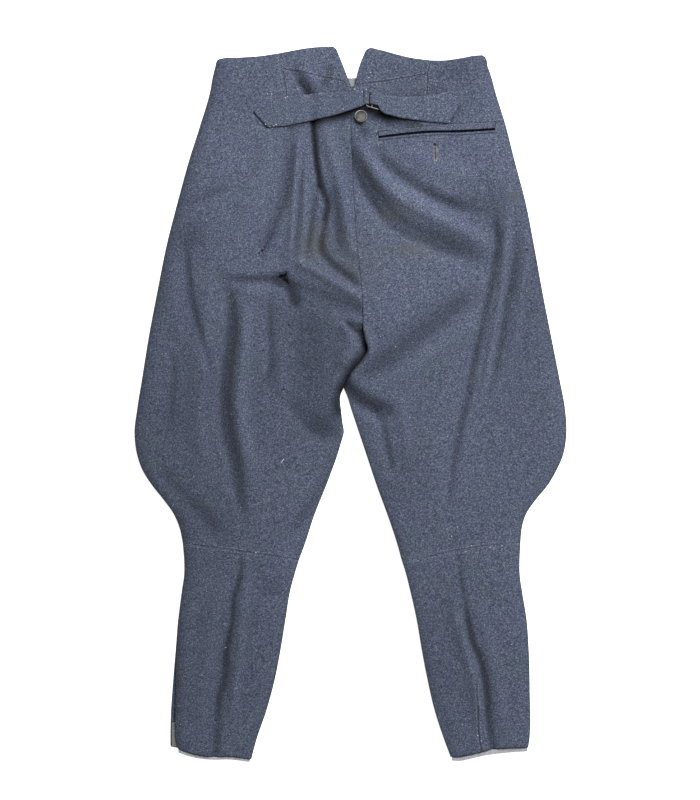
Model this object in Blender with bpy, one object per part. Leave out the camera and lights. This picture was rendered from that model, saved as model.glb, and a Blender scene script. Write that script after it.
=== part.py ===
"""Riding breeches of blue-grey wool, laid flat on their front with the back side up.

Sizes are in millimetres. A place on the garment is given by two numbers: across, which is positive to
the right, and down, which is measured from the top of the waist. Both become metres when a mesh is made.
The garment lies on z = 0: the two front legs are flat, and the back panels lie on them in folds.
"""

from collections import namedtuple
from math import ceil, cos, pi, radians, sin

import bmesh
import bpy
import numpy as np
from mathutils import Matrix, Vector
from mathutils.bvhtree import BVHTree
from mathutils.geometry import delaunay_2d_cdt

MM = 0.001

# Driving dimensions.
LENGTH = 1002.0  # top of the waist to the lowest hem
CLOTH = 2.2  # milled wool
LINING = 1.0  # cotton of the waist lining, hem tapes and facing
BELT = 2.4  # thickness of the half-belt straps
SEAM_GAP = 0.3  # between two pieces at a seam
LAYER_GAP = 0.35  # between two pieces that lie on each other
BASE = 10.0  # height of the back's upper face where it has no fold
RIM = 2 * CLOTH + 0.4  # height of its upper face at the folded side edges
OPEN_RIM = RIM + 1.4  # and at the open ends of the legs, over the tape
OPEN_FROM, OPEN_TO = 900.0, 945.0  # the stretch of the calf, down, over which the rim rises
LINED_FROM, LINED_TO = 82.0, 112.0  # and the one below the waist where folds may sink again
EDGE_EASE = 24.0  # width over which the cloth rounds down to a side edge
HEM_EASE = 7.0  # width over which it rounds down to a waist or hem edge
HEM_DROP = 0.3  # share of the height that a waist or hem edge loses

# Mesh sizes.
OUTLINE_STEP = 13.0
GRID = 17.0
FOLD_STEP = 9.0
SEED_GAP = 6.5
FLANK_SEED = 7.0  # a fold's flanks get their points at least this far from its path
GRID_GAP = 10.5
EDGE_CLEAR = 3.2

Side = namedtuple("Side", "down left right")

# Distance of the outer edge of each thigh from the centre line.
THIGH_OUTSIDE = [
    Side(27, 188.7, 193.2),
    Side(41, 192.3, 198.2),
    Side(61, 195.8, 203.6),
    Side(110, 210.2, 218.6),
    Side(160, 226, 231.3),
    Side(215, 241.1, 245.8),
    Side(280, 257.6, 258.7),
    Side(341, 269.8, 269.7),
    Side(404, 281.8, 282),
    Side(467, 291.9, 294.4),
    Side(509, 298.7, 302),
    Side(540, 302.2, 303.8),
    Side(572, 298.5, 299),
    Side(593, 291.2, 290),
    Side(614, 278, 277.6),
    Side(635, 261.3, 260.4),
    Side(655, 247.2, 247),
    Side(675, 238.8, 241),
    Side(694, 234.7, 239.3),
]

# Distance of the outer edge of each calf from the centre line.
CALF_OUTSIDE = [
    Side(694, 234.7, 239.3),
    Side(719, 232.6, 238.1),
    Side(740, 232.6, 238.3),
    Side(761, 235.6, 241.2),
    Side(803, 240.7, 247.9),
    Side(845, 243, 250.9),
    Side(908, 244.5, 252.4),
    Side(957, 244.8, 252.6),
    Side(972, 243.9, 251.5),
    Side(981, 241.6, 250.1),
]

# The inseams, as places across: the two edges part at the crotch.
INSEAM = [
    Side(478, -9, -9),
    Side(489, -13.3, -4.2),
    Side(509, -12.3, 2.1),
    Side(528, -10.0, 8.4),
    Side(540, -8.3, 12.4),
    Side(551, -11.2, 16.1),
    Side(572, -17.5, 23.1),
    Side(614, -32.9, 37.1),
    Side(656, -49.7, 52.5),
    Side(698, -63.5, 66.5),
    Side(718, -71, 72),
]
CALF_INSIDE = [
    Side(718, -71, 72),
    Side(740, -77.7, 78.8),
    Side(761, -83.3, 84),
    Side(803, -90.2, 93.4),
    Side(845, -97.1, 100.5),
    Side(887, -105.3, 108.6),
    Side(929, -116.5, 118.3),
    Side(971, -130.9, 132),
    Side(992, -136.6, 139.8),
]

# The left calf is open at its outer seam: the front's edge shows beside the back's.
FRONT_VENT = [
    (-234.7, 694), (-232.6, 740), (-241.4, 803), (-244.8, 845), (-248.3, 887), (-252, 946), (-252.3, 979.5),
]

# Seams and free edges, as (across, down).
WAIST_LEFT = [(-99.5, 9.2), (-123, 12.9), (-154, 15.2), (-179, 16.5), (-186, 18.8), (-188.7, 27)]
WAIST_RIGHT = [(113.5, 19.2), (133, 19.1), (157, 15.6), (178, 12.2), (187.4, 12.7), (191.2, 18), (193.2, 27)]
YOKE_TOP_LEFT = [(-19.2, 3.2), (-22.3, 0.6), (-32, 0.1), (-45, 0.6), (-66, 2.9), (-84, 6.3), (-99.5, 9.2)]
YOKE_TOP_RIGHT = [(21.9, 5.4), (25.2, 2.7), (42, 4.4), (63, 10.1), (87, 15.8), (113.5, 19.2)]
NOTCH_LEFT = [(1, 54.8), (-5.5, 37), (-12.5, 19), (-19.2, 3.2)]
NOTCH_RIGHT = [(7, 54.8), (9.9, 38.5), (15.2, 21.5), (21.9, 5.4)]
YOKE_END_LEFT = [(-99.5, 9.2), (-94, 31.5)]
YOKE_END_RIGHT = [(113.5, 19.2), (108, 38.5)]
YOKE_SEAM_LEFT = [(-94, 31.5), (-70, 35), (-47.5, 40.5), (-24, 44.8), (-8, 49.8), (1, 54.8)]
YOKE_SEAM_RIGHT = [(108, 38.5), (77, 43.5), (49, 48.5), (25, 51.2), (7, 54.8)]
NOTCH_FOOT = [(4, 56.5)]
CENTRE_BACK = [(2, 89), (1.5, 124), (3.5, 173), (6.5, 229), (11, 287.5), (16, 334), (18, 369), (18.5, 399)]
CROTCH_LAP = [(18.5, 399), (20.8, 410), (24.5, 424), (17.5, 437), (5.5, 451), (-4, 467), (-9, 478)]
KNEE_LEFT = [(-234.7, 694), (-197.5, 699.5), (-161, 704.5), (-126, 710), (-71, 718)]
KNEE_RIGHT = [(239.3, 694), (203, 697), (166.5, 702), (131.5, 708.5), (96, 716), (72, 718)]
HEM_LEFT = [(-241.2, 983.5), (-224, 988.6), (-191, 994.2), (-170, 993.2), (-138, 998)]
HEM_RIGHT = [(249.7, 981.5), (222.5, 981.8), (200.5, 983.6), (174, 989.8), (154, 994), (141, 995)]
TAPE_LEFT = [(-240.4, 989), (-225, 994.6), (-191, 999.3), (-172, 998.9), (-139.8, 1002)]
TAPE_RIGHT = [(249.1, 987.4), (220, 989.3), (190.5, 993), (166, 998.5), (154, 1000.7), (143, 1000.2)]
FRONT_WAIST = [(-187.7, 29), (-126, 32), (-70, 36.5), (2, 42.8), (70, 36.5), (126, 32), (192, 29)]
CENTRE_FRONT = [(2, 42.8), (4, 250), (-9, 478)]

TAPE_COVERED = 13.0  # how far a hem tape runs up from its lower edge, inside the leg
HEM_REACH = 30.0  # a hem tape stays under the lowest place of the hem within this distance
TAPE_CLEAR = 1.0  # and this far below the back's underside there
LINING_DEPTH = 38.0  # depth of the waist lining
LINING_SIDE = 6.0  # its ends stay this far inside the side seams
FACING = [(-250.3, 947), (-241.6, 947), (-241.6, 981.3), (-250.3, 981.8)]

# The hip pocket: the cut-out of its mouth, filled by two jets on each side of the slit.
MOUTH_TOP = [(40, 119.5), (102, 112.5), (154, 108.5), (203, 106)]
MOUTH_BOTTOM = [(40, 131.8), (75, 127.8), (112, 124.6), (154, 124), (203, 121)]
SLIT_TOP = [(40, 126), (70, 122), (112, 118.2), (140, 117.8), (175, 116.4), (203, 114.4)]
SLIT_BOTTOM = [(40, 128.6), (75, 124.6), (112, 121.4), (154, 120.6), (203, 117.6)]
JET_RAISED = 0.5

# The outline of the tear at the left hip.
TEAR = [
    (-100.8, 322), (-96.6, 319.2), (-92.4, 319.5), (-89.3, 316.1), (-88.2, 317.8), (-90.3, 322),
    (-92.4, 324.8), (-88.2, 327.6), (-85.4, 331.8), (-87.8, 332.1), (-93.1, 329), (-96.6, 325.5),
]

# Folds. A fold's height is added along its path and fades out sideways over the widths given for the
# left and right of the path's direction. A closed end fades out along the path, an open end doesn't.
Fold = namedtuple("Fold", "name panel height left right ends path")
FOLDS = [
    Fold("belt_hollow", "left", -7.0, 5, 6, "closed",
         [(-81, 27), (-73, 41), (-66, 52), (-59, 64), (-52, 83)]),
    Fold("belt_hollow_ridge", "left", 3.0, 6, 6, "closed", [(-62, 33), (-48, 51), (-39, 72)]),
    Fold("yoke_crease", "left", -2.0, 4, 5, "closed", [(-28, 19), (-31, 41), (-42, 58)]),
    Fold("seat_pleat", "left", -9.0, 3.5, 3.5, "closed",
         [(-70, 44), (-59, 68), (-53, 92), (-51, 117), (-49, 145), (-45, 176), (-39, 201), (-32, 220),
          (-35, 243), (-39, 271), (-42, 302)]),
    Fold("seat_pleat_tail", "left", -3.8, 5, 5, "closed",
         [(-39, 250), (-41, 285), (-27, 303), (-7, 318), (14, 337), (22, 344)]),
    Fold("seat_pleat_foot", "left", -3.5, 8, 8, "closed", [(-27, 184), (-21, 222), (-18, 254), (-13, 302)]),
    Fold("seat_pleat_branch", "left", -3.5, 3.5, 4, "closed",
         [(-45, 184), (-50, 222), (-56, 264), (-62, 302)]),
    Fold("seat_pleat_ridge", "left", 4.5, 4, 5, "closed",
         [(-70, 92), (-73, 145), (-77, 194), (-80, 243), (-83, 285), (-88, 330)]),
    Fold("hip_line", "left", -2.0, 3, 3, "closed",
         [(-66, 145), (-69, 187), (-73, 229), (-77, 271), (-85, 327)]),
    Fold("hip_line_ridge", "left", 3.0, 4.5, 3.5, "closed",
         [(-62, 159), (-63, 201), (-64, 243), (-67, 278), (-70, 316)]),
    Fold("seat_pleat_far_ridge", "left", 4.5, 12, 8, "open",
         [(-38, 92), (-31, 131), (-20, 173), (-11, 211), (-6, 243), (3, 285)]),
    Fold("hip_drape", "left", -4.0, 6, 11, "closed",
         [(-78, 108), (-81, 145), (-85, 180), (-92, 215), (-104, 244), (-115, 271), (-129, 290),
          (-154, 302)]),
    Fold("hip_drape_ridge", "left", 3.0, 14, 12, "closed",
         [(-109, 110), (-115, 159), (-132, 208), (-150, 257)]),
    Fold("seat_drag_ridge", "left", 5.0, 8, 8, "open",
         [(-71, 303), (-50, 313), (-29, 326), (-8, 338), (14, 351)]),
    Fold("seat_drag_lower", "left", -3.5, 8, 14, "open", [(-70, 337), (-50, 345), (-25, 356), (11, 369)]),
    Fold("thigh_pocket", "left", -4.5, 5, 6, "closed",
         [(-188, 324), (-151, 327), (-118, 326), (-88, 330), (-67, 344)]),
    Fold("thigh_pocket_mouth", "left", -7.0, 9, 8, "closed",
         [(-118, 327), (-98, 330), (-85, 338), (-78, 354), (-77, 374)]),
    Fold("thigh_pocket_ridge", "left", 3.0, 9, 10, "closed", [(-157, 345), (-132, 344), (-109, 354)]),
    Fold("thigh_long_valley", "left", -8.0, 8, 8, "closed",
         [(-190, 293), (-181, 321), (-169, 346), (-165, 380), (-167, 414), (-172, 453), (-175, 495),
          (-171, 544), (-161, 589), (-153, 635), (-148, 698)]),
    Fold("thigh_long_ridge", "left", 6.0, 12, 9, "closed",
         [(-150, 335), (-146, 397), (-151, 453), (-155, 502), (-146, 565), (-132, 628)]),
    Fold("thigh_outer_ridge", "left", 3.5, 10, 12, "closed",
         [(-202, 302), (-199, 383), (-206, 453), (-209, 537), (-199, 621)]),
    Fold("thigh_outer_valley", "left", -3.5, 5, 6, "closed",
         [(-234, 251), (-228, 299), (-223, 344), (-214, 386), (-202, 428), (-186, 478)]),
    Fold("thigh_side_ridge", "left", 2.5, 9, 10, "closed", [(-252, 285), (-246, 355), (-235, 425)]),
    Fold("thigh_side_crease", "left", -2.0, 5, 5, "closed", [(-244, 411), (-249, 488), (-253, 551)]),
    Fold("crotch_hollow", "left", -4.0, 32, 26, "closed", [(-62, 335), (-59, 411), (-53, 481), (-45, 565)]),
    Fold("crotch_hollow_side", "left", -3.5, 8, 3.5, "closed",
         [(-115, 335), (-113, 390), (-111, 425), (-116, 495)]),
    Fold("crotch_hollow_foot", "left", -4.0, 16, 9, "closed",
         [(-95, 481), (-73, 512), (-50, 537), (3, 551)]),
    Fold("crotch_hollow_ridge", "left", 2.5, 8, 8, "closed", [(-90, 411), (-94, 460), (-98, 502)]),
    Fold("crotch_bulge", "left", 5.0, 8, 8, "open", [(-6, 394), (1, 415), (-8, 442)]),
    Fold("crotch_tuck", "left", -4.5, 4, 3, "closed",
         [(-4, 381), (0, 388), (8, 393), (20, 394), (31, 394)]),
    Fold("inner_drag", "left", -5.0, 10, 12, "closed", [(-6, 545), (-28, 600), (-56, 646), (-98, 698)]),
    Fold("knee_outer_drag", "left", -3.5, 11, 13, "closed",
         [(-283, 572), (-244, 618), (-210, 652), (-165, 702)]),
    Fold("side_crease", "left", -2.5, 6, 6, "closed",
         [(-249, 229), (-227, 220), (-207, 214), (-190, 204), (-165, 200)]),
    Fold("calf_valley", "left", -4.5, 3.5, 3, "closed",
         [(-151, 698), (-156, 747), (-164, 776), (-165, 797), (-170, 828), (-174, 848), (-176, 881)]),
    Fold("calf_valley_foot", "left", -5.0, 6, 5, "closed",
         [(-167, 806), (-170, 828), (-174, 848), (-176, 881), (-185, 920), (-187, 953), (-190, 992),
          (-196, 1055)]),
    Fold("calf_ridge", "left", 4.0, 8, 6, "closed",
         [(-137, 713), (-148, 775), (-155, 845), (-162, 901), (-168, 978)]),
    Fold("calf_outer_ridge", "left", 2.5, 7, 10, "closed",
         [(-179, 733), (-190, 803), (-197, 859), (-206, 915), (-211, 985)]),
    Fold("calf_dent", "left", -2.0, 10, 10, "closed", [(-132, 761), (-81, 771)]),
    Fold("seat_swag", "right", -7.5, 12, 12, "closed",
         [(-8, 92), (-3, 117), (4, 145), (14, 173), (28, 201), (45, 226), (63, 246), (87, 260), (115, 272),
          (143, 284), (171, 295), (202, 313)]),
    Fold("seat_swag_ridge", "right", 7.0, 17, 11, "closed",
         [(0, 86), (4, 108), (11, 135), (27, 167), (50, 195), (76, 215), (105, 232), (134, 247), (162, 261),
          (188, 276), (221, 304)]),
    Fold("pocket_swag", "right", -4.5, 9, 8, "closed",
         [(11, 128), (34, 149), (60, 172), (85, 190), (113, 206), (141, 220), (169, 227), (199, 234)]),
    Fold("pocket_swag_ridge", "right", 2.5, 12, 12, "closed",
         [(63, 139), (98, 156), (140, 176), (188, 187)]),
    Fold("hip_valley", "right", -4.0, 5, 6, "closed",
         [(179, 159), (195, 201), (203, 236), (207, 271), (202, 310), (193, 352), (182, 404), (172, 450),
          (164, 495), (154, 537), (144, 593), (137, 691)]),
    Fold("hip_ridge", "right", 4.5, 6, 5, "closed",
         [(217, 180), (220, 222), (218, 271), (214, 320), (202, 397), (192, 453), (178, 516)]),
    Fold("hip_outer_valley", "right", -2.5, 5, 5, "closed",
         [(238, 222), (235, 271), (230, 313), (221, 355), (214, 397), (204, 453), (193, 523)]),
    Fold("hip_outer_ridge", "right", 3.0, 8, 6, "closed",
         [(249, 229), (249, 271), (242, 327), (232, 397), (218, 474)]),
    Fold("thigh_drag", "right", -5.5, 15, 15, "closed",
         [(193, 332), (162, 355), (132, 377), (104, 398), (78, 418), (53, 439), (28, 458), (0, 481)]),
    Fold("thigh_drag_ridge", "right", 2.5, 12, 14, "closed",
         [(190, 374), (157, 400), (119, 428), (84, 453), (49, 481)]),
    Fold("crotch_fan", "right", -8.0, 12, 10, "open", [(-11, 478), (8, 492), (25, 500), (43, 511)]),
    Fold("crotch_tail", "right", -3.5, 5, 6, "closed", [(36, 495), (46, 530), (52, 558), (62, 607)]),
    Fold("crotch_tail_ridge", "right", 2.5, 9, 7, "closed", [(66, 492), (76, 537), (84, 593)]),
    Fold("calf_valley_top", "right", -2.5, 3.5, 3.5, "closed",
         [(147, 684), (153, 724), (157, 761), (162, 789), (168, 820), (176, 845)]),
    Fold("calf_valley", "right", -5.5, 5, 4, "closed",
         [(160, 772), (167, 814), (170, 831), (181, 856), (189, 890), (195, 955), (200, 983), (207, 1055)]),
    Fold("calf_ridge", "right", 4.0, 6, 7, "closed",
         [(137, 747), (153, 817), (168, 866), (178, 908), (185, 985)]),
    Fold("calf_outer_ridge", "right", 2.5, 9, 7, "closed",
         [(174, 761), (193, 831), (206, 887), (214, 943), (218, 992)]),
    Fold("crotch_under", "left", -8.0, 7, 9, "open", CROTCH_LAP),
    Fold("crotch_over", "right", 4.0, 9, 9, "open", CROTCH_LAP),
]
END_FADE = 0.28  # share of a fold's length over which a closed end fades

# The half-belt: its upper and lower edges at places across.
Station = namedtuple("Station", "across top bottom")
STRAP_LEFT = [
    Station(-134.5, 90.5, 92.5),
    Station(-115.5, 70.5, 113.8),
    Station(-91, 71, 112.3),
    Station(-70, 68, 108),
    Station(-28, 65.3, 99.3),
    Station(0, 64.6, 91),
    Station(15, 62.6, 85.6),
    Station(22.9, 61, 82),
]
STRAP_RIGHT = [
    Station(154, 79.5, 81.5),
    Station(145, 71.7, 97.2),
    Station(137, 63.5, 108.6),
    Station(112, 69.5, 106.3),
    Station(70, 72, 101.2),
    Station(49, 70, 96),
    Station(43, 67.5, 92),
    Station(38.5, 65, 84),
    Station(30.6, 61, 82),
]
# Where the turned part of a strap goes round its bar, between the wires.
TURN_LEFT = Station(22.9, 65.5, 82)
TURN_RIGHT = Station(30.6, 69.5, 82)
STRAP_STEP = 9.0
STRAP_ROWS = 5
STRAP_CLEAR = 0.4  # over the cloth that a strap lies on
LIFT_FLAT = 14.0  # beside the buckle a strap keeps its height over this length
LIFT_RUN = 62.0  # and comes down to the cloth over this one
TURN_STEPS = 6
TAIL = 13.0  # length of the strap end that is turned back under its bar

# The buckle is bent wire: two long bars, a middle bar and two short ends, slightly askew.
WIRE = 1.0  # radius of the frame
MIDDLE_WIRE = 0.8  # radius of the middle bar
WIRE_CLEAR = 0.3
BUCKLE_CORNERS = [(22.9, 63), (22.9, 84.3), (41.5, 89.5), (41.5, 70.8)]
MIDDLE_BAR = [(30.6, 66.2), (30.6, 86.5)]
CORNER_ROUND = 2.2

BUTTON_PLACE = (15.4, 99.2)
BUTTON_TILT = radians(9)
# Turned profile of the button, as (radius, height), from the foot of the shank to the dish.
BUTTON_PROFILE = [
    (2.0, 0), (2.0, 2.4), (7.4, 2.5), (8.6, 3.1), (8.8, 4.2), (8.3, 4.9), (7.5, 4.8), (6.6, 3.9),
    (3.0, 3.6),
]
BUTTON_SIDES = 24
BUTTON_CLEAR = 0.5

# Colour, roughness and metallic value of each material.
Finish = namedtuple("Finish", "colour roughness metallic")
FINISHES = {
    "wool": Finish((0.10, 0.115, 0.165), 0.95, 0.0),
    "lining": Finish((0.28, 0.29, 0.32), 0.9, 0.0),
    "tape": Finish((0.24, 0.25, 0.28), 0.9, 0.0),
    "buckle": Finish((0.42, 0.41, 0.38), 0.45, 1.0),
    "button": Finish((0.20, 0.20, 0.20), 0.5, 0.8),
}


def clear_scene():
    for thing in list(bpy.data.objects):
        bpy.data.objects.remove(thing)


def finish(name):
    """The material of that name, made on first use."""
    found = bpy.data.materials.get(name)
    if found is None:
        found = bpy.data.materials.new(name)
        found.use_nodes = True
        shader = found.node_tree.nodes["Principled BSDF"]
        shader.inputs["Base Color"].default_value = (*FINISHES[name].colour, 1.0)
        shader.inputs["Roughness"].default_value = FINISHES[name].roughness
        shader.inputs["Metallic"].default_value = FINISHES[name].metallic
    return found


def smooth(places, spacing=OUTLINE_STEP):
    """A round curve through places (across, down), as points (x, y) about `spacing` apart."""
    knots = np.array([(across, LENGTH / 2 - down) for across, down in places])
    steps = np.diff(knots, axis=0)
    lengths = np.linalg.norm(steps, axis=1)
    slopes = steps / lengths[:, None]
    tangents = np.vstack([slopes[:1], slopes])
    before, after = lengths[:-1, None], lengths[1:, None]
    tangents[1:-1] = (slopes[:-1] * after + slopes[1:] * before) / (before + after)
    points = [knots[0]]
    for row, length in enumerate(lengths):
        count = max(1, round(length / spacing))
        for t in np.arange(1, count + 1) / count:
            swing = t * (1 - t) ** 2 * tangents[row] - t * t * (1 - t) * tangents[row + 1]
            points.append(knots[row] + t * t * (3 - 2 * t) * steps[row] + length * swing)
    return np.array(points)


def straight_sides(corners):
    """The straight sides of a closed shape through its corners."""
    return [smooth(pair) for pair in zip(corners, corners[1:] + corners[:1])]


def side_curve(table, side):
    """One side of a table that holds both, as places (across, down). Outer edges are given as distances."""
    sign = -1 if side == "left" and table in (THIGH_OUTSIDE, CALF_OUTSIDE) else 1
    return [(sign * getattr(row, side), row.down) for row in table]


def loop_of(*curves):
    """Joins curves end to end into one closed loop, turned so that it runs anticlockwise."""
    points = []
    for curve in curves:
        for point in curve:
            if not points or np.hypot(*(point - points[-1])) > 0.6:
                points.append(point)
    if np.hypot(*(points[0] - points[-1])) <= 0.6:
        points.pop()
    loop = np.array(points)
    x, y = loop.T
    area = (x * np.roll(y, -1) - np.roll(x, -1) * y).sum()
    return loop if area > 0 else loop[::-1]


def inset(loop, distance):
    """The loop moved inward by a distance, with its corners mitred."""
    ahead = np.roll(loop, -1, axis=0) - loop
    ahead /= np.linalg.norm(ahead, axis=1)[:, None]
    inward = np.column_stack([-ahead[:, 1], ahead[:, 0]])
    both = inward + np.roll(inward, 1, axis=0)
    return loop + distance * both / np.maximum((both * inward).sum(axis=1), 0.35)[:, None]


def inside(points, loop):
    """Which points lie inside the closed loop."""
    x, y = points[:, :1], points[:, 1:]
    x0, y0 = loop.T
    x1, y1 = np.roll(loop, -1, axis=0).T
    crosses = (y0 > y) != (y1 > y)
    rise = np.where(y1 == y0, 1.0, y1 - y0)
    return (crosses & (x < (x1 - x0) * (y - y0) / rise + x0)).sum(axis=1) % 2 == 1


def nearest(points, line):
    """Each point's distance from the line, whether it is left of it, and its share of the way along."""
    start, step = line[:-1], np.diff(line, axis=0)
    lengths = np.linalg.norm(step, axis=1)
    reach = points[:, None, :] - start
    part = np.clip((reach * step).sum(axis=2) / lengths**2, 0, 1)
    away = np.linalg.norm(reach - part[:, :, None] * step, axis=2)
    rows, best = np.arange(len(points)), away.argmin(axis=1)
    turn = step[best, 0] * reach[rows, best, 1] - step[best, 1] * reach[rows, best, 0]
    travelled = np.concatenate([[0], np.cumsum(lengths)])
    along = (travelled[best] + part[rows, best] * lengths[best]) / travelled[-1]
    return away[rows, best], turn > 0, along


def closed_line(loop):
    return np.vstack([loop, loop[:1]])


def step_up(value):
    """0 below 0, 1 above 1 and smooth between."""
    value = np.clip(value, 0, 1)
    return value * value * (3 - 2 * value)


def quarter_round(value):
    """Rises from 0 like the quarter of a circle and stays at 1."""
    return np.sqrt(1 - (1 - np.clip(value, 0, 1)) ** 2)


FOLD_LINES = {(fold.name, fold.panel): smooth(fold.path, FOLD_STEP) for fold in FOLDS}
FOLDED_EDGES = [
    smooth(side_curve(table, side))
    for table in (THIGH_OUTSIDE, CALF_OUTSIDE, INSEAM, CALF_INSIDE)
    for side in ("left", "right")
]
OPEN_EDGES = [
    smooth(places)
    for places in (
        WAIST_LEFT, WAIST_RIGHT, YOKE_TOP_LEFT, YOKE_TOP_RIGHT, NOTCH_LEFT, NOTCH_RIGHT,
        HEM_LEFT, HEM_RIGHT,
    )
]


def folds_of(side):
    return [fold for fold in FOLDS if fold.panel == side]


def relief(points, side):
    """Height of the back's upper face over the floor on that side of the centre seam."""
    height = np.full(len(points), BASE)
    for fold in folds_of(side):
        away, is_left, along = nearest(points, FOLD_LINES[fold.name, side])
        width = np.where(is_left, fold.left, fold.right)
        fade = 1.0 if fold.ends == "open" else step_up(along / END_FADE) * step_up((1 - along) / END_FADE)
        height += fold.height * fade * np.exp(-((away / width) ** 2))
    side_gap = np.min([nearest(points, edge)[0] for edge in FOLDED_EDGES], axis=0)
    open_gap = np.min([nearest(points, edge)[0] for edge in OPEN_EDGES], axis=0)
    down = LENGTH / 2 - points[:, 1]
    at_hem = step_up((down - OPEN_FROM) / (OPEN_TO - OPEN_FROM))
    at_waist = step_up((LINED_TO - down) / (LINED_TO - LINED_FROM))
    rim = RIM + (OPEN_RIM - RIM) * at_hem
    floor = RIM + (OPEN_RIM - RIM) * np.maximum(at_hem, at_waist)
    raised = 0.5 * (height + floor + np.hypot(height - floor, 1.0))
    drop = HEM_DROP * (1 - quarter_round(open_gap / HEM_EASE))
    return rim + (raised - rim) * quarter_round(side_gap / EDGE_EASE) * (1 - drop)


def seeds(loop, side):
    """Inner points of a panel: beside its edge and along its folds first, then a grid of triangles."""
    placed = [(inset(loop, 5.0), 8.0, 4.0)]
    for fold in folds_of(side):
        line = FOLD_LINES[fold.name, side]
        ahead = np.gradient(line, axis=0)
        across = np.column_stack([-ahead[:, 1], ahead[:, 0]]) / np.linalg.norm(ahead, axis=1)[:, None]
        for offset in (0, max(fold.left, FLANK_SEED), -max(fold.right, FLANK_SEED)):
            placed.append((line + offset * across, SEED_GAP, EDGE_CLEAR + 2))
    low, high = loop.min(axis=0), loop.max(axis=0)
    rows = np.arange(low[1], high[1], GRID * sin(pi / 3))
    columns = np.arange(low[0], high[0], GRID)
    grid = [(x + GRID / 2 * (row % 2), y) for row, y in enumerate(rows) for x in columns]
    placed.append((np.array(grid), GRID_GAP, GRID_GAP * 0.7))
    return placed


def triangulate(loop, placed=(), hole=None):
    """Fills a loop with triangles and returns the points, the loop's and the hole's first, and faces."""
    kept = loop if hole is None else np.vstack([loop, hole])
    for points, gap, edge_gap in placed:
        fits = inside(points, loop) & (nearest(points, closed_line(loop))[0] > edge_gap)
        if hole is not None:
            fits &= ~inside(points, hole) & (nearest(points, closed_line(hole))[0] > edge_gap)
        for point in points[fits]:
            if np.hypot(*(kept - point).T).min() > gap:
                kept = np.vstack([kept, point])
    borders = [range(len(loop))] + ([] if hole is None else [range(len(loop), len(loop) + len(hole))])
    edges = [(ring[i - 1], ring[i]) for ring in borders for i in range(len(ring))]
    points, _, faces, *_ = delaunay_2d_cdt([Vector(point) for point in kept], edges, [], 1, 1e-4)
    points = np.array([tuple(point) for point in points])
    faces = np.array([tuple(face) for face in faces])
    if hole is not None:
        faces = faces[~inside(points[faces].mean(axis=1), hole)]
    return points, faces


def wall(name, points, faces, top, bottom, material):
    """A closed solid between two heights over the same triangles."""
    ends = np.concatenate([faces[:, [0, 1]], faces[:, [1, 2]], faces[:, [2, 0]]])
    paired = {(b, a) for a, b in ends.tolist()}
    rim = [(a, b) for a, b in ends.tolist() if (a, b) not in paired]
    count = len(points)
    corners = np.vstack([np.column_stack([points, top]), np.column_stack([points, bottom])])
    sides = [(b, a, a + count, b + count) for a, b in rim]
    polygons = faces.tolist() + (faces[:, ::-1] + count).tolist() + sides
    return solid(name, corners, polygons, material)


def solid(name, corners, polygons, material):
    """A mesh object from corners in millimetres."""
    mesh = bpy.data.meshes.new(name)
    mesh.from_pydata([Vector(corner) * MM for corner in corners], [], polygons)
    mesh.materials.append(finish(material))
    thing = bpy.data.objects.new(name, mesh)
    bpy.context.scene.collection.objects.link(thing)
    mesh.shade_smooth()
    mesh.set_sharp_from_angle(angle=radians(40))
    return thing


def back_panel(name, side, *curves, hole=None):
    """A piece of the back: wool of even thickness that follows the folds."""
    loop = inset(loop_of(*curves), SEAM_GAP / 2)
    points, faces = triangulate(loop, seeds(loop, side), hole)
    top = relief(points, side)
    return wall(name, points, faces, top, top - CLOTH, "wool")


def flat_piece(name, low, thickness, material, *curves, clear=SEAM_GAP / 2):
    """A flat piece that lies at one height."""
    points, faces = triangulate(inset(loop_of(*curves), clear))
    level = np.full(len(points), low)
    return wall(name, points, faces, level + thickness, level, material)


def under_hem(points, side, hem):
    """Height of a tape's upper face, which follows the underside of the back's hem."""
    line = smooth(hem, 4)
    apart = np.hypot(*(line[:, None] - line).T)
    lowest = np.where(apart < HEM_REACH, relief(line, side), np.inf).min(axis=1)
    near = apart < HEM_REACH / 3
    even = (near * lowest).sum(axis=1) / near.sum(axis=1)
    closest = np.hypot(*(points[:, None] - line).T).argmin(axis=0)
    return np.maximum(even[closest] - CLOTH - TAPE_CLEAR, CLOTH + LAYER_GAP + LINING)


def mouth_hole():
    """The cut-out of the pocket's mouth, a seam gap wider than the two jets together."""
    return inset(loop_of(smooth(MOUTH_TOP), smooth(MOUTH_BOTTOM)[::-1]), -SEAM_GAP / 2)


def jet(name, upper, lower):
    """One lip of the pocket, level with the panel around it and slightly raised."""
    loop = inset(loop_of(smooth(upper), smooth(lower)[::-1]), SEAM_GAP / 2)
    points, faces = triangulate(loop)
    top = relief(points, "right") + JET_RAISED
    return wall(name, points, faces, top, top - CLOTH, "wool")


class Ground:
    """The upper faces of the back pieces, for what lies on them."""

    def __init__(self, pieces):
        corners, polygons = [], []
        for piece in pieces:
            start = len(corners)
            corners += [corner.co / MM for corner in piece.data.vertices]
            polygons += [[start + corner for corner in polygon.vertices] for polygon in piece.data.polygons]
        self.tree = BVHTree.FromPolygons(corners, polygons)

    def height(self, x, y, spread=0.0):
        """The highest point of the cloth within a circle round a place."""
        turns = [2 * pi * turn / 8 for turn in range(8)]
        reach = (0.5 * spread, spread)
        rings = [(0, 0)] + [(radius * cos(turn), radius * sin(turn)) for radius in reach for turn in turns]
        places = [Vector((x + dx, y + dy, 100)) for dx, dy in rings]
        hits = [self.tree.ray_cast(place, Vector((0, 0, -1)))[0] for place in places]
        return max((hit.z for hit in hits if hit is not None), default=BASE)


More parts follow.
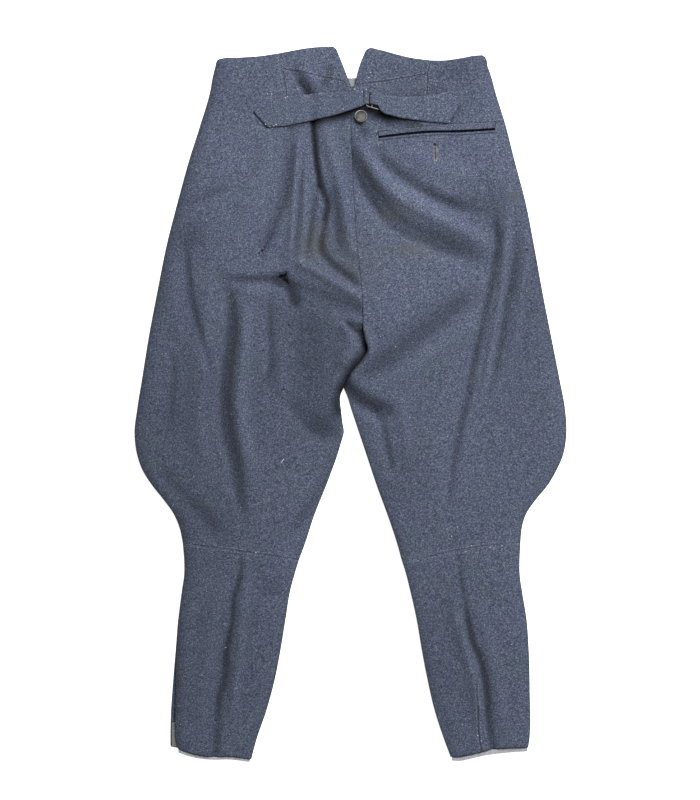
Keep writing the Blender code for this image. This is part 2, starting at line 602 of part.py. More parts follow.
def strap_places(stations):
    """Where a strap's sections are: at its stations, and evenly between them."""
    places = [stations[0].across]
    for first, second in zip(stations, stations[1:]):
        count = ceil(abs(second.across - first.across) / STRAP_STEP)
        places += list(np.linspace(first.across, second.across, count + 1)[1:])
    return places


def strap(name, stations, turned, bar_height, ground):
    """A strap of the half-belt: a pointed end sewn on the cloth, the other end turned round a bar."""
    across, tops, bottoms = np.array(sorted(stations)).T
    bar = turned.across
    hand = 1 if bar > stations[0].across else -1
    shares = np.linspace(0, 1, STRAP_ROWS)
    inner_turn, outer_turn = WIRE + WIRE_CLEAR, WIRE + WIRE_CLEAR + BELT
    outer, inner = [], []

    def add_section(top, bottom, x_out, z_out, x_in, z_in):
        downs = top + (bottom - top) * shares
        z_out, z_in = np.broadcast_to(z_out, STRAP_ROWS), np.broadcast_to(z_in, STRAP_ROWS)
        outer.append([(x_out, LENGTH / 2 - down, z) for down, z in zip(downs, z_out)])
        inner.append([(x_in, LENGTH / 2 - down, z) for down, z in zip(downs, z_in)])

    for place in strap_places(stations):
        top, bottom = np.interp(place, across, tops), np.interp(place, across, bottoms)
        rests = [ground.height(place, LENGTH / 2 - down, 6.0) for down in top + (bottom - top) * shares]
        low = np.array(rests) + STRAP_CLEAR
        lift = 1 - step_up((abs(bar - place) - LIFT_FLAT) / LIFT_RUN)
        low = low + (bar_height + inner_turn - low) * lift
        add_section(top, bottom, place, low + BELT, place, low)
    for turn in range(1, TURN_STEPS + 1):
        angle = pi * turn / TURN_STEPS
        x_part, z_part = hand * sin(angle), cos(angle)
        add_section(
            turned.top,
            turned.bottom,
            bar + x_part * outer_turn,
            bar_height + z_part * outer_turn,
            bar + x_part * inner_turn,
            bar_height + z_part * inner_turn,
        )
    end = bar - hand * TAIL
    add_section(turned.top, turned.bottom, end, bar_height - outer_turn, end, bar_height - inner_turn)

    rows, columns = len(outer), STRAP_ROWS
    half = rows * columns
    corners = [point for section in outer + inner for point in section]

    def quad(row, column, shift):
        first = row * columns + column + shift
        return (first, first + columns, first + columns + 1, first + 1)

    cells = [(row, column) for row in range(rows - 1) for column in range(columns - 1)]
    polygons = [quad(row, column, 0)[::-1] for row, column in cells]
    polygons += [quad(row, column, half) for row, column in cells]
    ring = [column for column in range(columns)]
    ring += [row * columns + columns - 1 for row in range(1, rows)]
    ring += [(rows - 1) * columns + column for column in range(columns - 2, -1, -1)]
    ring += [row * columns for row in range(rows - 2, 0, -1)]
    polygons += [(a, b, b + half, a + half)[::-1] for a, b in zip(ring, ring[1:] + ring[:1])]
    if hand > 0:
        polygons = [polygon[::-1] for polygon in polygons]
    belt = solid(name, corners, polygons, "wool")
    face_outward(belt)
    return belt


def face_outward(thing):
    shape = bmesh.new()
    shape.from_mesh(thing.data)
    bmesh.ops.recalc_face_normals(shape, faces=shape.faces)
    shape.to_mesh(thing.data)
    shape.free()


def wire(name, places, height, radius, cyclic):
    """Bent wire through corners (across, down), with each corner rounded."""
    points = [Vector((across, LENGTH / 2 - down, height)) * MM for across, down in places]
    path = []
    for row, corner in enumerate(points):
        if not cyclic:
            path.append(corner)
            continue
        before = (points[row - 1] - corner).normalized() * CORNER_ROUND * MM
        after = (points[(row + 1) % len(points)] - corner).normalized() * CORNER_ROUND * MM
        middle = corner + (before + after) * 0.29
        path += [corner + before, middle, corner + after]
    curve = bpy.data.curves.new(name, "CURVE")
    curve.dimensions = "3D"
    curve.bevel_depth = radius * MM
    curve.bevel_resolution = 2
    curve.use_fill_caps = not cyclic
    spline = curve.splines.new("POLY")
    spline.points.add(len(path) - 1)
    for point, place in zip(spline.points, path):
        point.co = (*place, 1.0)
    spline.use_cyclic_u = cyclic
    thing = bpy.data.objects.new(name, curve)
    bpy.context.scene.collection.objects.link(thing)
    mesh = bpy.data.meshes.new_from_object(thing.evaluated_get(bpy.context.evaluated_depsgraph_get()))
    bpy.data.objects.remove(thing)
    mesh.materials.clear()
    mesh.materials.append(finish("buckle"))
    mesh.shade_smooth()
    made = bpy.data.objects.new(name, mesh)
    bpy.context.scene.collection.objects.link(made)
    face_outward(made)
    return made


def buckle(height):
    """The wire buckle, its middle bar joined into the frame."""
    frame = wire("buckle", BUCKLE_CORNERS, height, WIRE, True)
    bar = wire("buckle_middle_bar", MIDDLE_BAR, height, MIDDLE_WIRE, False)
    bar.hide_render = True
    bar.hide_viewport = True
    bar.display_type = "WIRE"
    union = frame.modifiers.new("middle_bar", "BOOLEAN")
    union.operation = "UNION"
    union.object = bar


def button(ground):
    """A dished metal button on a short shank, leaning towards the leg."""
    shape = bmesh.new()
    corners = [shape.verts.new((radius * MM, 0, height * MM)) for radius, height in BUTTON_PROFILE]
    for first, second in zip(corners, corners[1:]):
        shape.edges.new((first, second))
    bmesh.ops.spin(
        shape,
        geom=shape.verts[:] + shape.edges[:],
        axis=(0, 0, 1),
        cent=(0, 0, 0),
        steps=BUTTON_SIDES,
        angle=2 * pi,
        use_merge=True,
    )
    bmesh.ops.remove_doubles(shape, verts=shape.verts, dist=0.05 * MM)
    bmesh.ops.holes_fill(shape, edges=shape.edges)
    bmesh.ops.recalc_face_normals(shape, faces=shape.faces)
    mesh = bpy.data.meshes.new("button")
    shape.to_mesh(mesh)
    shape.free()
    mesh.materials.append(finish("button"))
    mesh.shade_smooth()
    mesh.set_sharp_from_angle(angle=radians(35))
    thing = bpy.data.objects.new("button", mesh)
    bpy.context.scene.collection.objects.link(thing)
    x, y = BUTTON_PLACE[0], LENGTH / 2 - BUTTON_PLACE[1]
    thing.location = Vector((x, y, ground.height(x, y, 3.0) + BUTTON_CLEAR)) * MM
    thing.rotation_euler = (-BUTTON_TILT, 0, 0)


def shifted(places, down):
    """The same places moved down the garment."""
    return [(across, place + down) for across, place in places]


def front_legs():
    waist = smooth(FRONT_WAIST)
    centre = smooth(CENTRE_FRONT)
    middle = abs(waist[:, 0] - FRONT_WAIST[3][0]).argmin()
    left_outside = smooth(side_curve(THIGH_OUTSIDE, "left")[1:-1] + FRONT_VENT)
    right_outside = smooth(side_curve(THIGH_OUTSIDE, "right")[1:] + side_curve(CALF_OUTSIDE, "right")[1:])
    left_inside = smooth(side_curve(INSEAM, "left") + side_curve(CALF_INSIDE, "left")[1:])
    right_inside = smooth(side_curve(INSEAM, "right") + side_curve(CALF_INSIDE, "right")[1:])
    left_hem = smooth([(-250.6, 981.8)] + shifted(HEM_LEFT[1:], -2))
    right_hem = smooth(shifted(HEM_RIGHT, -2))
    flat_piece(
        "front_leg_left", 0, CLOTH, "wool",
        centre[::-1], waist[middle::-1], left_outside, left_hem, left_inside[::-1],
    )
    flat_piece(
        "front_leg_right", 0, CLOTH, "wool",
        centre[::-1], waist[middle:], right_outside, right_hem, right_inside[::-1],
    )


def inner_layers():
    """The grey pieces between front and back that show at the notch, the hems and the vent."""
    low = CLOTH + LAYER_GAP
    ends = slice(1, -1)
    sides = [(FRONT_WAIST[0][0] + LINING_SIDE, 31), (FRONT_WAIST[-1][0] - LINING_SIDE, 31)]
    upper = [sides[0], *FRONT_WAIST[ends], sides[1]]
    flat_piece(
        "waist_lining", low, LINING, "lining",
        smooth(shifted(upper, 1)), smooth(shifted(upper, LINING_DEPTH))[::-1],
    )
    for side, tape, hem in (("left", TAPE_LEFT, HEM_LEFT), ("right", TAPE_RIGHT, HEM_RIGHT)):
        upper = smooth(shifted(tape, -TAPE_COVERED))
        points, faces = triangulate(inset(loop_of(smooth(tape), upper[::-1]), SEAM_GAP / 2))
        top = under_hem(points, side, hem)
        wall(f"hem_tape_{side}", points, faces, top, top - LINING, "tape")
    flat_piece("vent_facing_left", low, LINING, "tape", *straight_sides(FACING))


def back():
    """The back pieces. Returns those that carry the half-belt and the button."""
    centre = np.vstack([smooth(NOTCH_FOOT + CENTRE_BACK), smooth(CROTCH_LAP)[1:]])
    carriers = [
        back_panel(
            "back_thigh_left", "left",
            smooth(YOKE_SEAM_LEFT)[::-1], smooth(YOKE_END_LEFT)[::-1], smooth(WAIST_LEFT),
            smooth(side_curve(THIGH_OUTSIDE, "left")), smooth(KNEE_LEFT),
            smooth(side_curve(INSEAM, "left"))[::-1], centre[::-1],
            hole=np.array([(across, LENGTH / 2 - down) for across, down in TEAR]),
        ),
        back_panel(
            "back_thigh_right", "right",
            smooth(YOKE_SEAM_RIGHT)[::-1], smooth(YOKE_END_RIGHT)[::-1], smooth(WAIST_RIGHT),
            smooth(side_curve(THIGH_OUTSIDE, "right")), smooth(KNEE_RIGHT),
            smooth(side_curve(INSEAM, "right"))[::-1], centre[::-1],
            hole=mouth_hole(),
        ),
        back_panel(
            "yoke_left", "left",
            smooth(NOTCH_LEFT), smooth(YOKE_TOP_LEFT), smooth(YOKE_END_LEFT), smooth(YOKE_SEAM_LEFT),
        ),
        back_panel(
            "yoke_right", "right",
            smooth(NOTCH_RIGHT), smooth(YOKE_TOP_RIGHT), smooth(YOKE_END_RIGHT), smooth(YOKE_SEAM_RIGHT),
        ),
    ]
    for side, knee, hem in (("left", KNEE_LEFT, HEM_LEFT), ("right", KNEE_RIGHT, HEM_RIGHT)):
        back_panel(
            f"back_calf_{side}", side,
            smooth(knee), smooth(side_curve(CALF_INSIDE, side)),
            smooth(hem)[::-1], smooth(side_curve(CALF_OUTSIDE, side))[::-1],
        )
    return carriers


def stand_on_origin():
    """Moves every piece so that the middle of the garment's underside is the origin."""
    bpy.context.view_layer.update()
    pieces = [thing for thing in bpy.data.objects if not thing.hide_render]
    corners = [piece.matrix_world @ corner.co for piece in pieces for corner in piece.data.vertices]
    corners = np.array(corners)
    low, high = corners.min(axis=0), corners.max(axis=0)
    shift = Matrix.Translation((-(low[0] + high[0]) / 2, -(low[1] + high[1]) / 2, -low[2]))
    for thing in bpy.data.objects:
        thing.matrix_world = shift @ thing.matrix_world


def main():
    clear_scene()
    front_legs()
    inner_layers()
    ground = Ground(back())
    jet("pocket_jet_upper", MOUTH_TOP, SLIT_TOP)
    jet("pocket_jet_lower", SLIT_BOTTOM, MOUTH_BOTTOM)
    frame_middle = np.mean(BUCKLE_CORNERS, axis=0)
    under_buckle = ground.height(frame_middle[0], LENGTH / 2 - frame_middle[1], 18.0)
    bar_height = under_buckle + STRAP_CLEAR + BELT + WIRE + WIRE_CLEAR
    strap("half_belt_left", STRAP_LEFT, TURN_LEFT, bar_height, ground)
    strap("half_belt_right", STRAP_RIGHT, TURN_RIGHT, bar_height, ground)
    buckle(bar_height)
    button(ground)
    stand_on_origin()


main()
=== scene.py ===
"""The looks of wool riding breeches laid flat with the back up: cloth, folds, sewing, lining and metal.

Sizes are in millimetres and become metres when a mesh is made. A place on the garment is given as
(across, down): across is positive to the right, and down is measured from the top of the waist.
"""

import random
from collections import namedtuple
from math import ceil, cos, pi, radians, sin

import bmesh
import bpy
import numpy as np
from mathutils import Euler, Matrix, Vector, noise
from mathutils.bvhtree import BVHTree
from mathutils.geometry import delaunay_2d_cdt


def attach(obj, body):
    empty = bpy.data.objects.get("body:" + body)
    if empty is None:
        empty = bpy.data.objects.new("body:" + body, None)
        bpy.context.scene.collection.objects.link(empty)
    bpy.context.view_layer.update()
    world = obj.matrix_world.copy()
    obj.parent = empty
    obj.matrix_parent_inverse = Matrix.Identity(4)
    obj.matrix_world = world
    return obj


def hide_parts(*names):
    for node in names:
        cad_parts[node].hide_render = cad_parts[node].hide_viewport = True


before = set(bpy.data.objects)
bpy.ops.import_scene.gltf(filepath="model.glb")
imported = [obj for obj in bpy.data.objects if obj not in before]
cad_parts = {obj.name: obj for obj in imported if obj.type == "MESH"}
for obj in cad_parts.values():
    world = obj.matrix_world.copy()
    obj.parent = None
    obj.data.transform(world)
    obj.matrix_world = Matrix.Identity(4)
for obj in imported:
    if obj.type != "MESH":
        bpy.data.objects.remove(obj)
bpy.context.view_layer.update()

MM = 0.001
SIDES = ("left", "right")

# Driving dimensions, as in the solids.
LENGTH = 1002.0
CLOTH = 2.2
LINING = 1.0
BELT = 2.4
SEAM_GAP = 0.3
LAYER_GAP = 0.35
BASE = 10.0
RIM = 2 * CLOTH + 0.4
OPEN_RIM = RIM + 1.4
OPEN_FROM, OPEN_TO = 900.0, 945.0
LINED_FROM, LINED_TO = 82.0, 112.0
EDGE_EASE = 24.0
HEM_EASE = 7.0
HEM_DROP = 0.3

# Mesh sizes.
OUTLINE_STEP = 3.5
GRID = 3.0
FOLD_STEP = 6.0
EDGE_RINGS = (0.2, 0.5, 1.2, 2.2)
LINE_ROWS = (0, 0.6, -0.6, 1.3, -1.3, 2.4, -2.4)  # rows of points along and beside a sewn line
PIT_RINGS = ((0, 1), (0.45, 6), (0.9, 10), (1.35, 12))  # shares of a pit's radius, and points on each ring
EDGE_ROLL = 0.55  # how far the edge of a piece is rounded at most
EDGE_FLAT = 0.15  # half of what stays flat between the rounded parts
JOINED = 0.6  # points closer than this are taken as one where curves join
SEWN_GAP = 0.04  # between two back panels, whose seams are pressed shut

Side = namedtuple("Side", "down left right")
Station = namedtuple("Station", "across top bottom")
Fold = namedtuple("Fold", "name height left right line")
Crease = namedtuple("Crease", "amount left right line")
Groove = namedtuple("Groove", "depth amount line")
Pit = namedtuple("Pit", "across down radius depth amount")
Spot = namedtuple("Spot", "across down wide tall amount")


def rows_of(kind, *rows):
    """The rows of a table, each made into a named tuple."""
    return [kind(*row) for row in rows]


# Distance of the outer edge of each leg from the centre line, for the thighs and the calves.
THIGH_OUTSIDE = rows_of(
    Side,
    (27, 188.7, 193.2), (41, 192.3, 198.2), (61, 195.8, 203.6), (110, 210.2, 218.6), (160, 226, 231.3),
    (215, 241.1, 245.8), (280, 257.6, 258.7), (341, 269.8, 269.7), (404, 281.8, 282), (467, 291.9, 294.4),
    (509, 298.7, 302), (540, 302.2, 303.8), (572, 298.5, 299), (593, 291.2, 290), (614, 278, 277.6),
    (635, 261.3, 260.4), (655, 247.2, 247), (675, 238.8, 241), (694, 234.7, 239.3),
)
CALF_OUTSIDE = rows_of(
    Side,
    (694, 234.7, 239.3), (719, 232.6, 238.1), (740, 232.6, 238.3), (761, 235.6, 241.2), (803, 240.7, 247.9),
    (845, 243, 250.9), (908, 244.5, 252.4), (957, 244.8, 252.6), (972, 243.9, 251.5), (981, 241.6, 250.1),
)

# The inseams, as places across: the two edges part at the crotch.
INSEAM = rows_of(
    Side,
    (478, -9, -9), (489, -13.3, -4.2), (509, -12.3, 2.1), (528, -10, 8.4), (540, -8.3, 12.4),
    (551, -11.2, 16.1), (572, -17.5, 23.1), (614, -32.9, 37.1), (656, -49.7, 52.5), (698, -63.5, 66.5),
    (718, -71, 72),
)
CALF_INSIDE = rows_of(
    Side,
    (718, -71, 72), (740, -77.7, 78.8), (761, -83.3, 84), (803, -90.2, 93.4), (845, -97.1, 100.5),
    (887, -105.3, 108.6), (929, -116.5, 118.3), (971, -130.9, 132), (992, -136.6, 139.8),
)

# The left calf is open at its outer seam: the front's edge shows beside the back's.
FRONT_VENT = [
    (-234.7, 694), (-232.6, 740), (-241.4, 803), (-244.8, 845), (-248.3, 887), (-252, 946), (-252.3, 979.5),
]
FRONT_HEM_CORNER = (-250.6, 981.8)
FRONT_SHORTER = 2.0  # the fronts end this far above the back's hem

# Seams and free edges, as (across, down).
WAIST = {
    "left": [(-99.5, 9.2), (-123, 12.9), (-154, 15.2), (-179, 16.5), (-186, 18.8), (-188.7, 27)],
    "right": [(113.5, 19.2), (133, 19.1), (157, 15.6), (178, 12.2), (187.4, 12.7), (191.2, 18), (193.2, 27)],
}
YOKE_TOP = {
    "left": [(-19.2, 3.2), (-22.3, 0.6), (-32, 0.1), (-45, 0.6), (-66, 2.9), (-84, 6.3), (-99.5, 9.2)],
    "right": [(21.9, 5.4), (25.2, 2.7), (42, 4.4), (63, 10.1), (87, 15.8), (113.5, 19.2)],
}
NOTCH = {
    "left": [(1, 54.8), (-5.5, 37), (-12.5, 19), (-19.2, 3.2)],
    "right": [(7, 54.8), (9.9, 38.5), (15.2, 21.5), (21.9, 5.4)],
}
YOKE_END = {
    "left": [(-99.5, 9.2), (-94, 31.5)],
    "right": [(113.5, 19.2), (108, 38.5)],
}
YOKE_SEAM = {
    "left": [(-94, 31.5), (-70, 35), (-47.5, 40.5), (-24, 44.8), (-8, 49.8), (1, 54.8)],
    "right": [(108, 38.5), (77, 43.5), (49, 48.5), (25, 51.2), (7, 54.8)],
}
KNEE = {
    "left": [(-234.7, 694), (-197.5, 699.5), (-161, 704.5), (-126, 710), (-71, 718)],
    "right": [(239.3, 694), (203, 697), (166.5, 702), (131.5, 708.5), (96, 716), (72, 718)],
}
HEM = {
    "left": [(-241.2, 983.5), (-224, 988.6), (-191, 994.2), (-170, 993.2), (-138, 998)],
    "right": [(249.7, 981.5), (222.5, 981.8), (200.5, 983.6), (174, 989.8), (154, 994), (141, 995)],
}
TAPE = {
    "left": [(-240.4, 989), (-225, 994.6), (-191, 999.3), (-172, 998.9), (-139.8, 1002)],
    "right": [(249.1, 987.4), (220, 989.3), (190.5, 993), (166, 998.5), (154, 1000.7), (143, 1000.2)],
}
CENTRE_BACK = [(2, 89), (1.5, 124), (3.5, 173), (6.5, 229), (11, 287.5), (16, 334), (18, 369), (18.5, 399)]
CROTCH_LAP = [(18.5, 399), (20.8, 410), (24.5, 424), (17.5, 437), (5.5, 451), (-4, 467), (-9, 478)]
FRONT_WAIST = [(-187.7, 29), (-126, 32), (-70, 36.5), (2, 42.8), (70, 36.5), (126, 32), (192, 29)]
CENTRE_FRONT = [(2, 42.8), (4, 250), (-9, 478)]
NOTCH_FOOT = [(4, 56.5)]

TAPE_COVERED = 13.0  # how far a hem tape runs up from its lower edge, inside the leg
TAPE_CURL = 2.0  # how far its free edge curls up
HEM_REACH = 30.0  # a hem tape stays under the lowest place of the hem within this distance
TAPE_CLEAR = 1.0  # and this far below the back's underside there
LINING_DEPTH = 38.0  # depth of the waist lining
LINING_SIDE = 6.0  # its ends stay this far inside the side seams
LINING_END = 31.0  # and this far down
FACING = [(-250.3, 947), (-241.6, 947), (-241.6, 981.3), (-250.3, 981.8)]

# The hip pocket: the cut-out of its mouth, filled by two jets on each side of the slit.
MOUTH_TOP = [(40, 119.5), (102, 112.5), (154, 108.5), (203, 106)]
MOUTH_BOTTOM = [(40, 131.8), (75, 127.8), (112, 124.6), (154, 124), (203, 121)]
SLIT_TOP = [(40, 126), (70, 122), (112, 118.2), (140, 117.8), (175, 116.4), (203, 114.4)]
SLIT_BOTTOM = [(40, 128.6), (75, 124.6), (112, 121.4), (154, 120.6), (203, 117.6)]
JET_RAISED = 0.5

# The outline of the tear at the left hip.
TEAR = [
    (-100.8, 322), (-96.6, 319.2), (-92.4, 319.5), (-89.3, 316.1), (-88.2, 317.8), (-90.3, 322),
    (-92.4, 324.8), (-88.2, 327.6), (-85.4, 331.8), (-87.8, 332.1), (-93.1, 329), (-96.6, 325.5),
]

# Tables whose rows have paths are text. A row is a word, some values and the places of its path, each
# as across,down, and it may run on over several lines.

# Folds: name, height, widths to the left and right of the path's direction, and path. A fold's height is
# added along its path and fades out sideways. It also fades out at the path's ends, but for open folds.
# The two crotch folds without a path follow the lap.
LEFT_FOLDS = """
belt_hollow -7 5 6 -81,27 -73,41 -66,52 -59,64 -52,83
belt_hollow_ridge 3 6 6 -62,33 -48,51 -39,72
yoke_crease -2 4 5 -28,19 -31,41 -42,58
seat_pleat -9 3.5 3.5 -70,44 -59,68 -53,92 -51,117 -49,145 -45,176 -39,201 -32,220 -35,243 -39,271 -42,302
seat_pleat_tail -3.8 5 5 -39,250 -41,285 -27,303 -7,318 14,337 22,344
seat_pleat_foot -3.5 8 8 -27,184 -21,222 -18,254 -13,302
seat_pleat_branch -3.5 3.5 4 -45,184 -50,222 -56,264 -62,302
seat_pleat_ridge 4.5 4 5 -70,92 -73,145 -77,194 -80,243 -83,285 -88,330
hip_line -2 3 3 -66,145 -69,187 -73,229 -77,271 -85,327
hip_line_ridge 3 4.5 3.5 -62,159 -63,201 -64,243 -67,278 -70,316
seat_pleat_far_ridge 4.5 12 8 -38,92 -31,131 -20,173 -11,211 -6,243 3,285
hip_drape -4 6 11 -78,108 -81,145 -85,180 -92,215 -104,244 -115,271 -129,290 -154,302
hip_drape_ridge 3 14 12 -109,110 -115,159 -132,208 -150,257
seat_drag_ridge 5 8 8 -71,303 -50,313 -29,326 -8,338 14,351
seat_drag_lower -3.5 8 14 -70,337 -50,345 -25,356 11,369
thigh_pocket -4.5 5 6 -188,324 -151,327 -118,326 -88,330 -67,344
thigh_pocket_mouth -7 9 8 -118,327 -98,330 -85,338 -78,354 -77,374
thigh_pocket_ridge 3 9 10 -157,345 -132,344 -109,354
thigh_long_valley -8 8 8 -190,293 -181,321 -169,346 -165,380 -167,414 -172,453 -175,495 -171,544 -161,589
    -153,635 -148,698
thigh_long_ridge 6 12 9 -150,335 -146,397 -151,453 -155,502 -146,565 -132,628
thigh_outer_ridge 3.5 10 12 -202,302 -199,383 -206,453 -209,537 -199,621
thigh_outer_valley -3.5 5 6 -234,251 -228,299 -223,344 -214,386 -202,428 -186,478
thigh_side_ridge 2.5 9 10 -252,285 -246,355 -235,425
thigh_side_crease -2 5 5 -244,411 -249,488 -253,551
crotch_hollow -4 32 26 -62,335 -59,411 -53,481 -45,565
crotch_hollow_side -3.5 8 3.5 -115,335 -113,390 -111,425 -116,495
crotch_hollow_foot -4 16 9 -95,481 -73,512 -50,537 3,551
crotch_hollow_ridge 2.5 8 8 -90,411 -94,460 -98,502
crotch_bulge 5 8 8 -6,394 1,415 -8,442
crotch_tuck -4.5 4 3 -14,380 -1,388 11,392 31,394
inner_drag -5 10 12 -6,545 -28,600 -56,646 -98,698
knee_outer_drag -3.5 11 13 -283,572 -244,618 -210,652 -165,702
side_crease -2.5 6 6 -249,229 -227,220 -207,214 -190,204 -165,200
calf_valley -4.5 3.5 3 -151,698 -156,747 -164,776 -165,797 -170,828 -174,848 -176,881
calf_valley_foot -5 6 5 -167,806 -170,828 -174,848 -176,881 -185,920 -187,953 -190,992 -196,1055
calf_ridge 4 8 6 -137,713 -148,775 -155,845 -162,901 -168,978
calf_outer_ridge 2.5 7 10 -179,733 -190,803 -197,859 -206,915 -211,985
calf_dent -2 10 10 -132,761 -81,771
crotch_under -8 7 9
"""
RIGHT_FOLDS = """
seat_swag -7.5 12 12 -8,92 -3,117 4,145 14,173 28,201 45,226 63,246 87,260 115,272 143,284 171,295 202,313
seat_swag_ridge 7 17 11 0,86 4,108 11,135 27,167 50,195 76,215 105,232 134,247 162,261 188,276 221,304
pocket_swag -4.5 9 8 11,128 34,149 60,172 85,190 113,206 141,220 169,227 199,234
pocket_swag_ridge 2.5 12 12 63,139 98,156 140,176 188,187
hip_valley -4 5 6 179,159 195,201 203,236 207,271 202,310 193,352 182,404 172,450 164,495 154,537 144,593
    137,691
hip_ridge 4.5 6 5 217,180 220,222 218,271 214,320 202,397 192,453 178,516
hip_outer_valley -2.5 5 5 238,222 235,271 230,313 221,355 214,397 204,453 193,523
hip_outer_ridge 3 8 6 249,229 249,271 242,327 232,397 218,474
thigh_drag -5.5 15 15 193,332 162,355 132,377 104,398 78,418 53,439 28,458 0,481
thigh_drag_ridge 2.5 12 14 190,374 157,400 119,428 84,453 49,481
crotch_fan -8 12 10 -11,478 8,492 25,500 48,512
crotch_tail -3.5 5 6 36,495 46,530 52,558 62,607
crotch_tail_ridge 2.5 9 7 66,492 76,537 84,593
calf_valley_top -2.5 3.5 3.5 147,684 153,724 157,761 162,789 168,820 176,845
calf_valley -5.5 5 4 160,772 167,814 170,831 181,856 189,890 195,955 200,983 207,1055
calf_ridge 4 6 7 137,747 153,817 168,866 178,908 185,985
calf_outer_ridge 2.5 9 7 174,761 193,831 206,887 214,943 218,992
crotch_over 4 9 9
"""
OPEN_FOLDS = {
    "seat_pleat_far_ridge", "seat_drag_ridge", "seat_drag_lower", "crotch_bulge", "crotch_fan",
    "crotch_under", "crotch_over",
}
END_FADE = 0.28  # share of a fold's length over which its ends fade
# Small soft waves between the folds: height, length across and down, and level in the noise.
WAVES = ((0.55, 42, 55, 0.3), (0.22, 13, 17, 2.1))

# The half-belt: its upper and lower edges at places across.
STRAP_LEFT = rows_of(
    Station,
    (-134.5, 90.5, 92.5), (-115.5, 70.5, 113.8), (-91, 71, 112.3), (-70, 68, 108), (-28, 65.3, 99.3),
    (0, 64.6, 91), (15, 62.6, 85.6), (22.9, 61, 82),
)
STRAP_RIGHT = rows_of(
    Station,
    (154, 79.5, 81.5), (145, 71.7, 97.2), (137, 63.5, 108.6), (112, 69.5, 106.3), (70, 72, 101.2),
    (49, 70, 96), (43, 67.5, 92), (38.5, 65, 84), (30.6, 61, 82),
)
# Where the turned part of a strap goes round its bar, between the wires.
TURN_LEFT = Station(22.9, 65.5, 82)
TURN_RIGHT = Station(30.6, 69.5, 82)
TURN_STEPS = 14
STRAP_SHARES = np.array([0, 0.012, 0.035, 0.08, *np.linspace(0.14, 0.86, 13), 0.92, 0.965, 0.988, 1])
STRAP_CLEAR = 0.4  # over the cloth that a strap lies on
LIFT_FLAT = 14.0  # beside the buckle a strap keeps its height over this length
LIFT_RUN = 62.0  # and comes down to the cloth over this one
TAIL = 13.0  # length of the strap end that is turned back under its bar
SEWN_DOWN = {"half_belt_left": (18.9, 1.3, 0.9)}  # place, width and depth of the groove beside the wire

# The buckle is bent wire: two long bars, a middle bar and two short ends, slightly askew.
WIRE = 1.0  # radius of the frame in the solids, which the straps go round
THIN_WIRE = 0.75  # radius that shows
WIRE_CLEAR = 0.3
BUCKLE_CORNERS = [(22.9, 63), (22.9, 84.3), (41.5, 89.5), (41.5, 70.8)]
BUCKLE_SHADED_TO = 72.0
MIDDLE_BAR = [(30.6, 66.2), (30.6, 86.5)]
CORNER_ROUND = 2.2

BUTTON_PLACE = (15.4, 99.2)
BUTTON_TILT = radians(9)
BUTTON_CLEAR = 0.5
BUTTON_WORN_FROM = 7.8  # radius where its worn rim starts
# The side of the button's rim that gets a painted highlight.
BUTTON_LIT_SIDE = (-0.98, -0.2)
BUTTON_DISH = (1.5, -1.7, 4.8)  # middle and radius of the part of its dish without painted shadow; round it, its upper left gets a painted shadow of the strap
# Turned profile of the button, as (radius, height), finer than its solid.
FINE_BUTTON = [
    (2, 0), (2, 2.3), (2.6, 2.45), (7.2, 2.5), (8.1, 2.75), (8.6, 3.15), (8.85, 3.7), (8.8, 4.25), (8.5, 4.7),
    (8.05, 4.95), (7.6, 4.9), (7.25, 4.6), (7, 4.2), (6.7, 3.95), (6.2, 3.8), (4.5, 3.65), (2.5, 3.55),
    (0.6, 3.5),
]

# Soft oval spots of painted light (above 0) or painted shade (below 0) over broad parts of the cloth, and
# places where it is soiled.
LIGHT_AND_SHADE_SPOTS = rows_of(
    Spot,
    (90, 310, 95, 75, 0.1), (80, 215, 90, 40, 0.08), (140, 160, 80, 50, 0.06), (-150, 175, 70, 90, 0.08),
    (-70, 375, 42, 32, -0.12), (-235, 270, 40, 110, -0.15), (-224, 495, 80, 130, -0.18),
    (-52, 445, 55, 105, -0.32), (-38, 530, 26, 20, -0.35), (-210, 663, 75, 60, -0.22),
    (-190, 850, 90, 150, -0.14), (126, 845, 50, 120, -0.14), (70, 607, 40, 80, -0.15),
    (259, 537, 50, 90, -0.08), (120, 40, 90, 50, -0.16), (-170, 60, 50, 50, -0.06), (248, 341, 42, 120, -0.2),
    (195, 215, 30, 40, -0.12), (178, 222, 40, 26, -0.18), (-220, 267, 18, 18, -0.25),
    (-15, 240, 22, 50, -0.12), (-262, 540, 40, 70, -0.12), (160, 30, 40, 22, -0.1),
)
SOILED = rows_of(
    Spot,
    (-46, 275, 22, 24, 0.55), (85, 285, 42, 14, 0.35), (0, 300, 45, 40, 0.25), (230, 210, 9, 9, 0.4),
    (60, 235, 20, 14, 0.4),
)
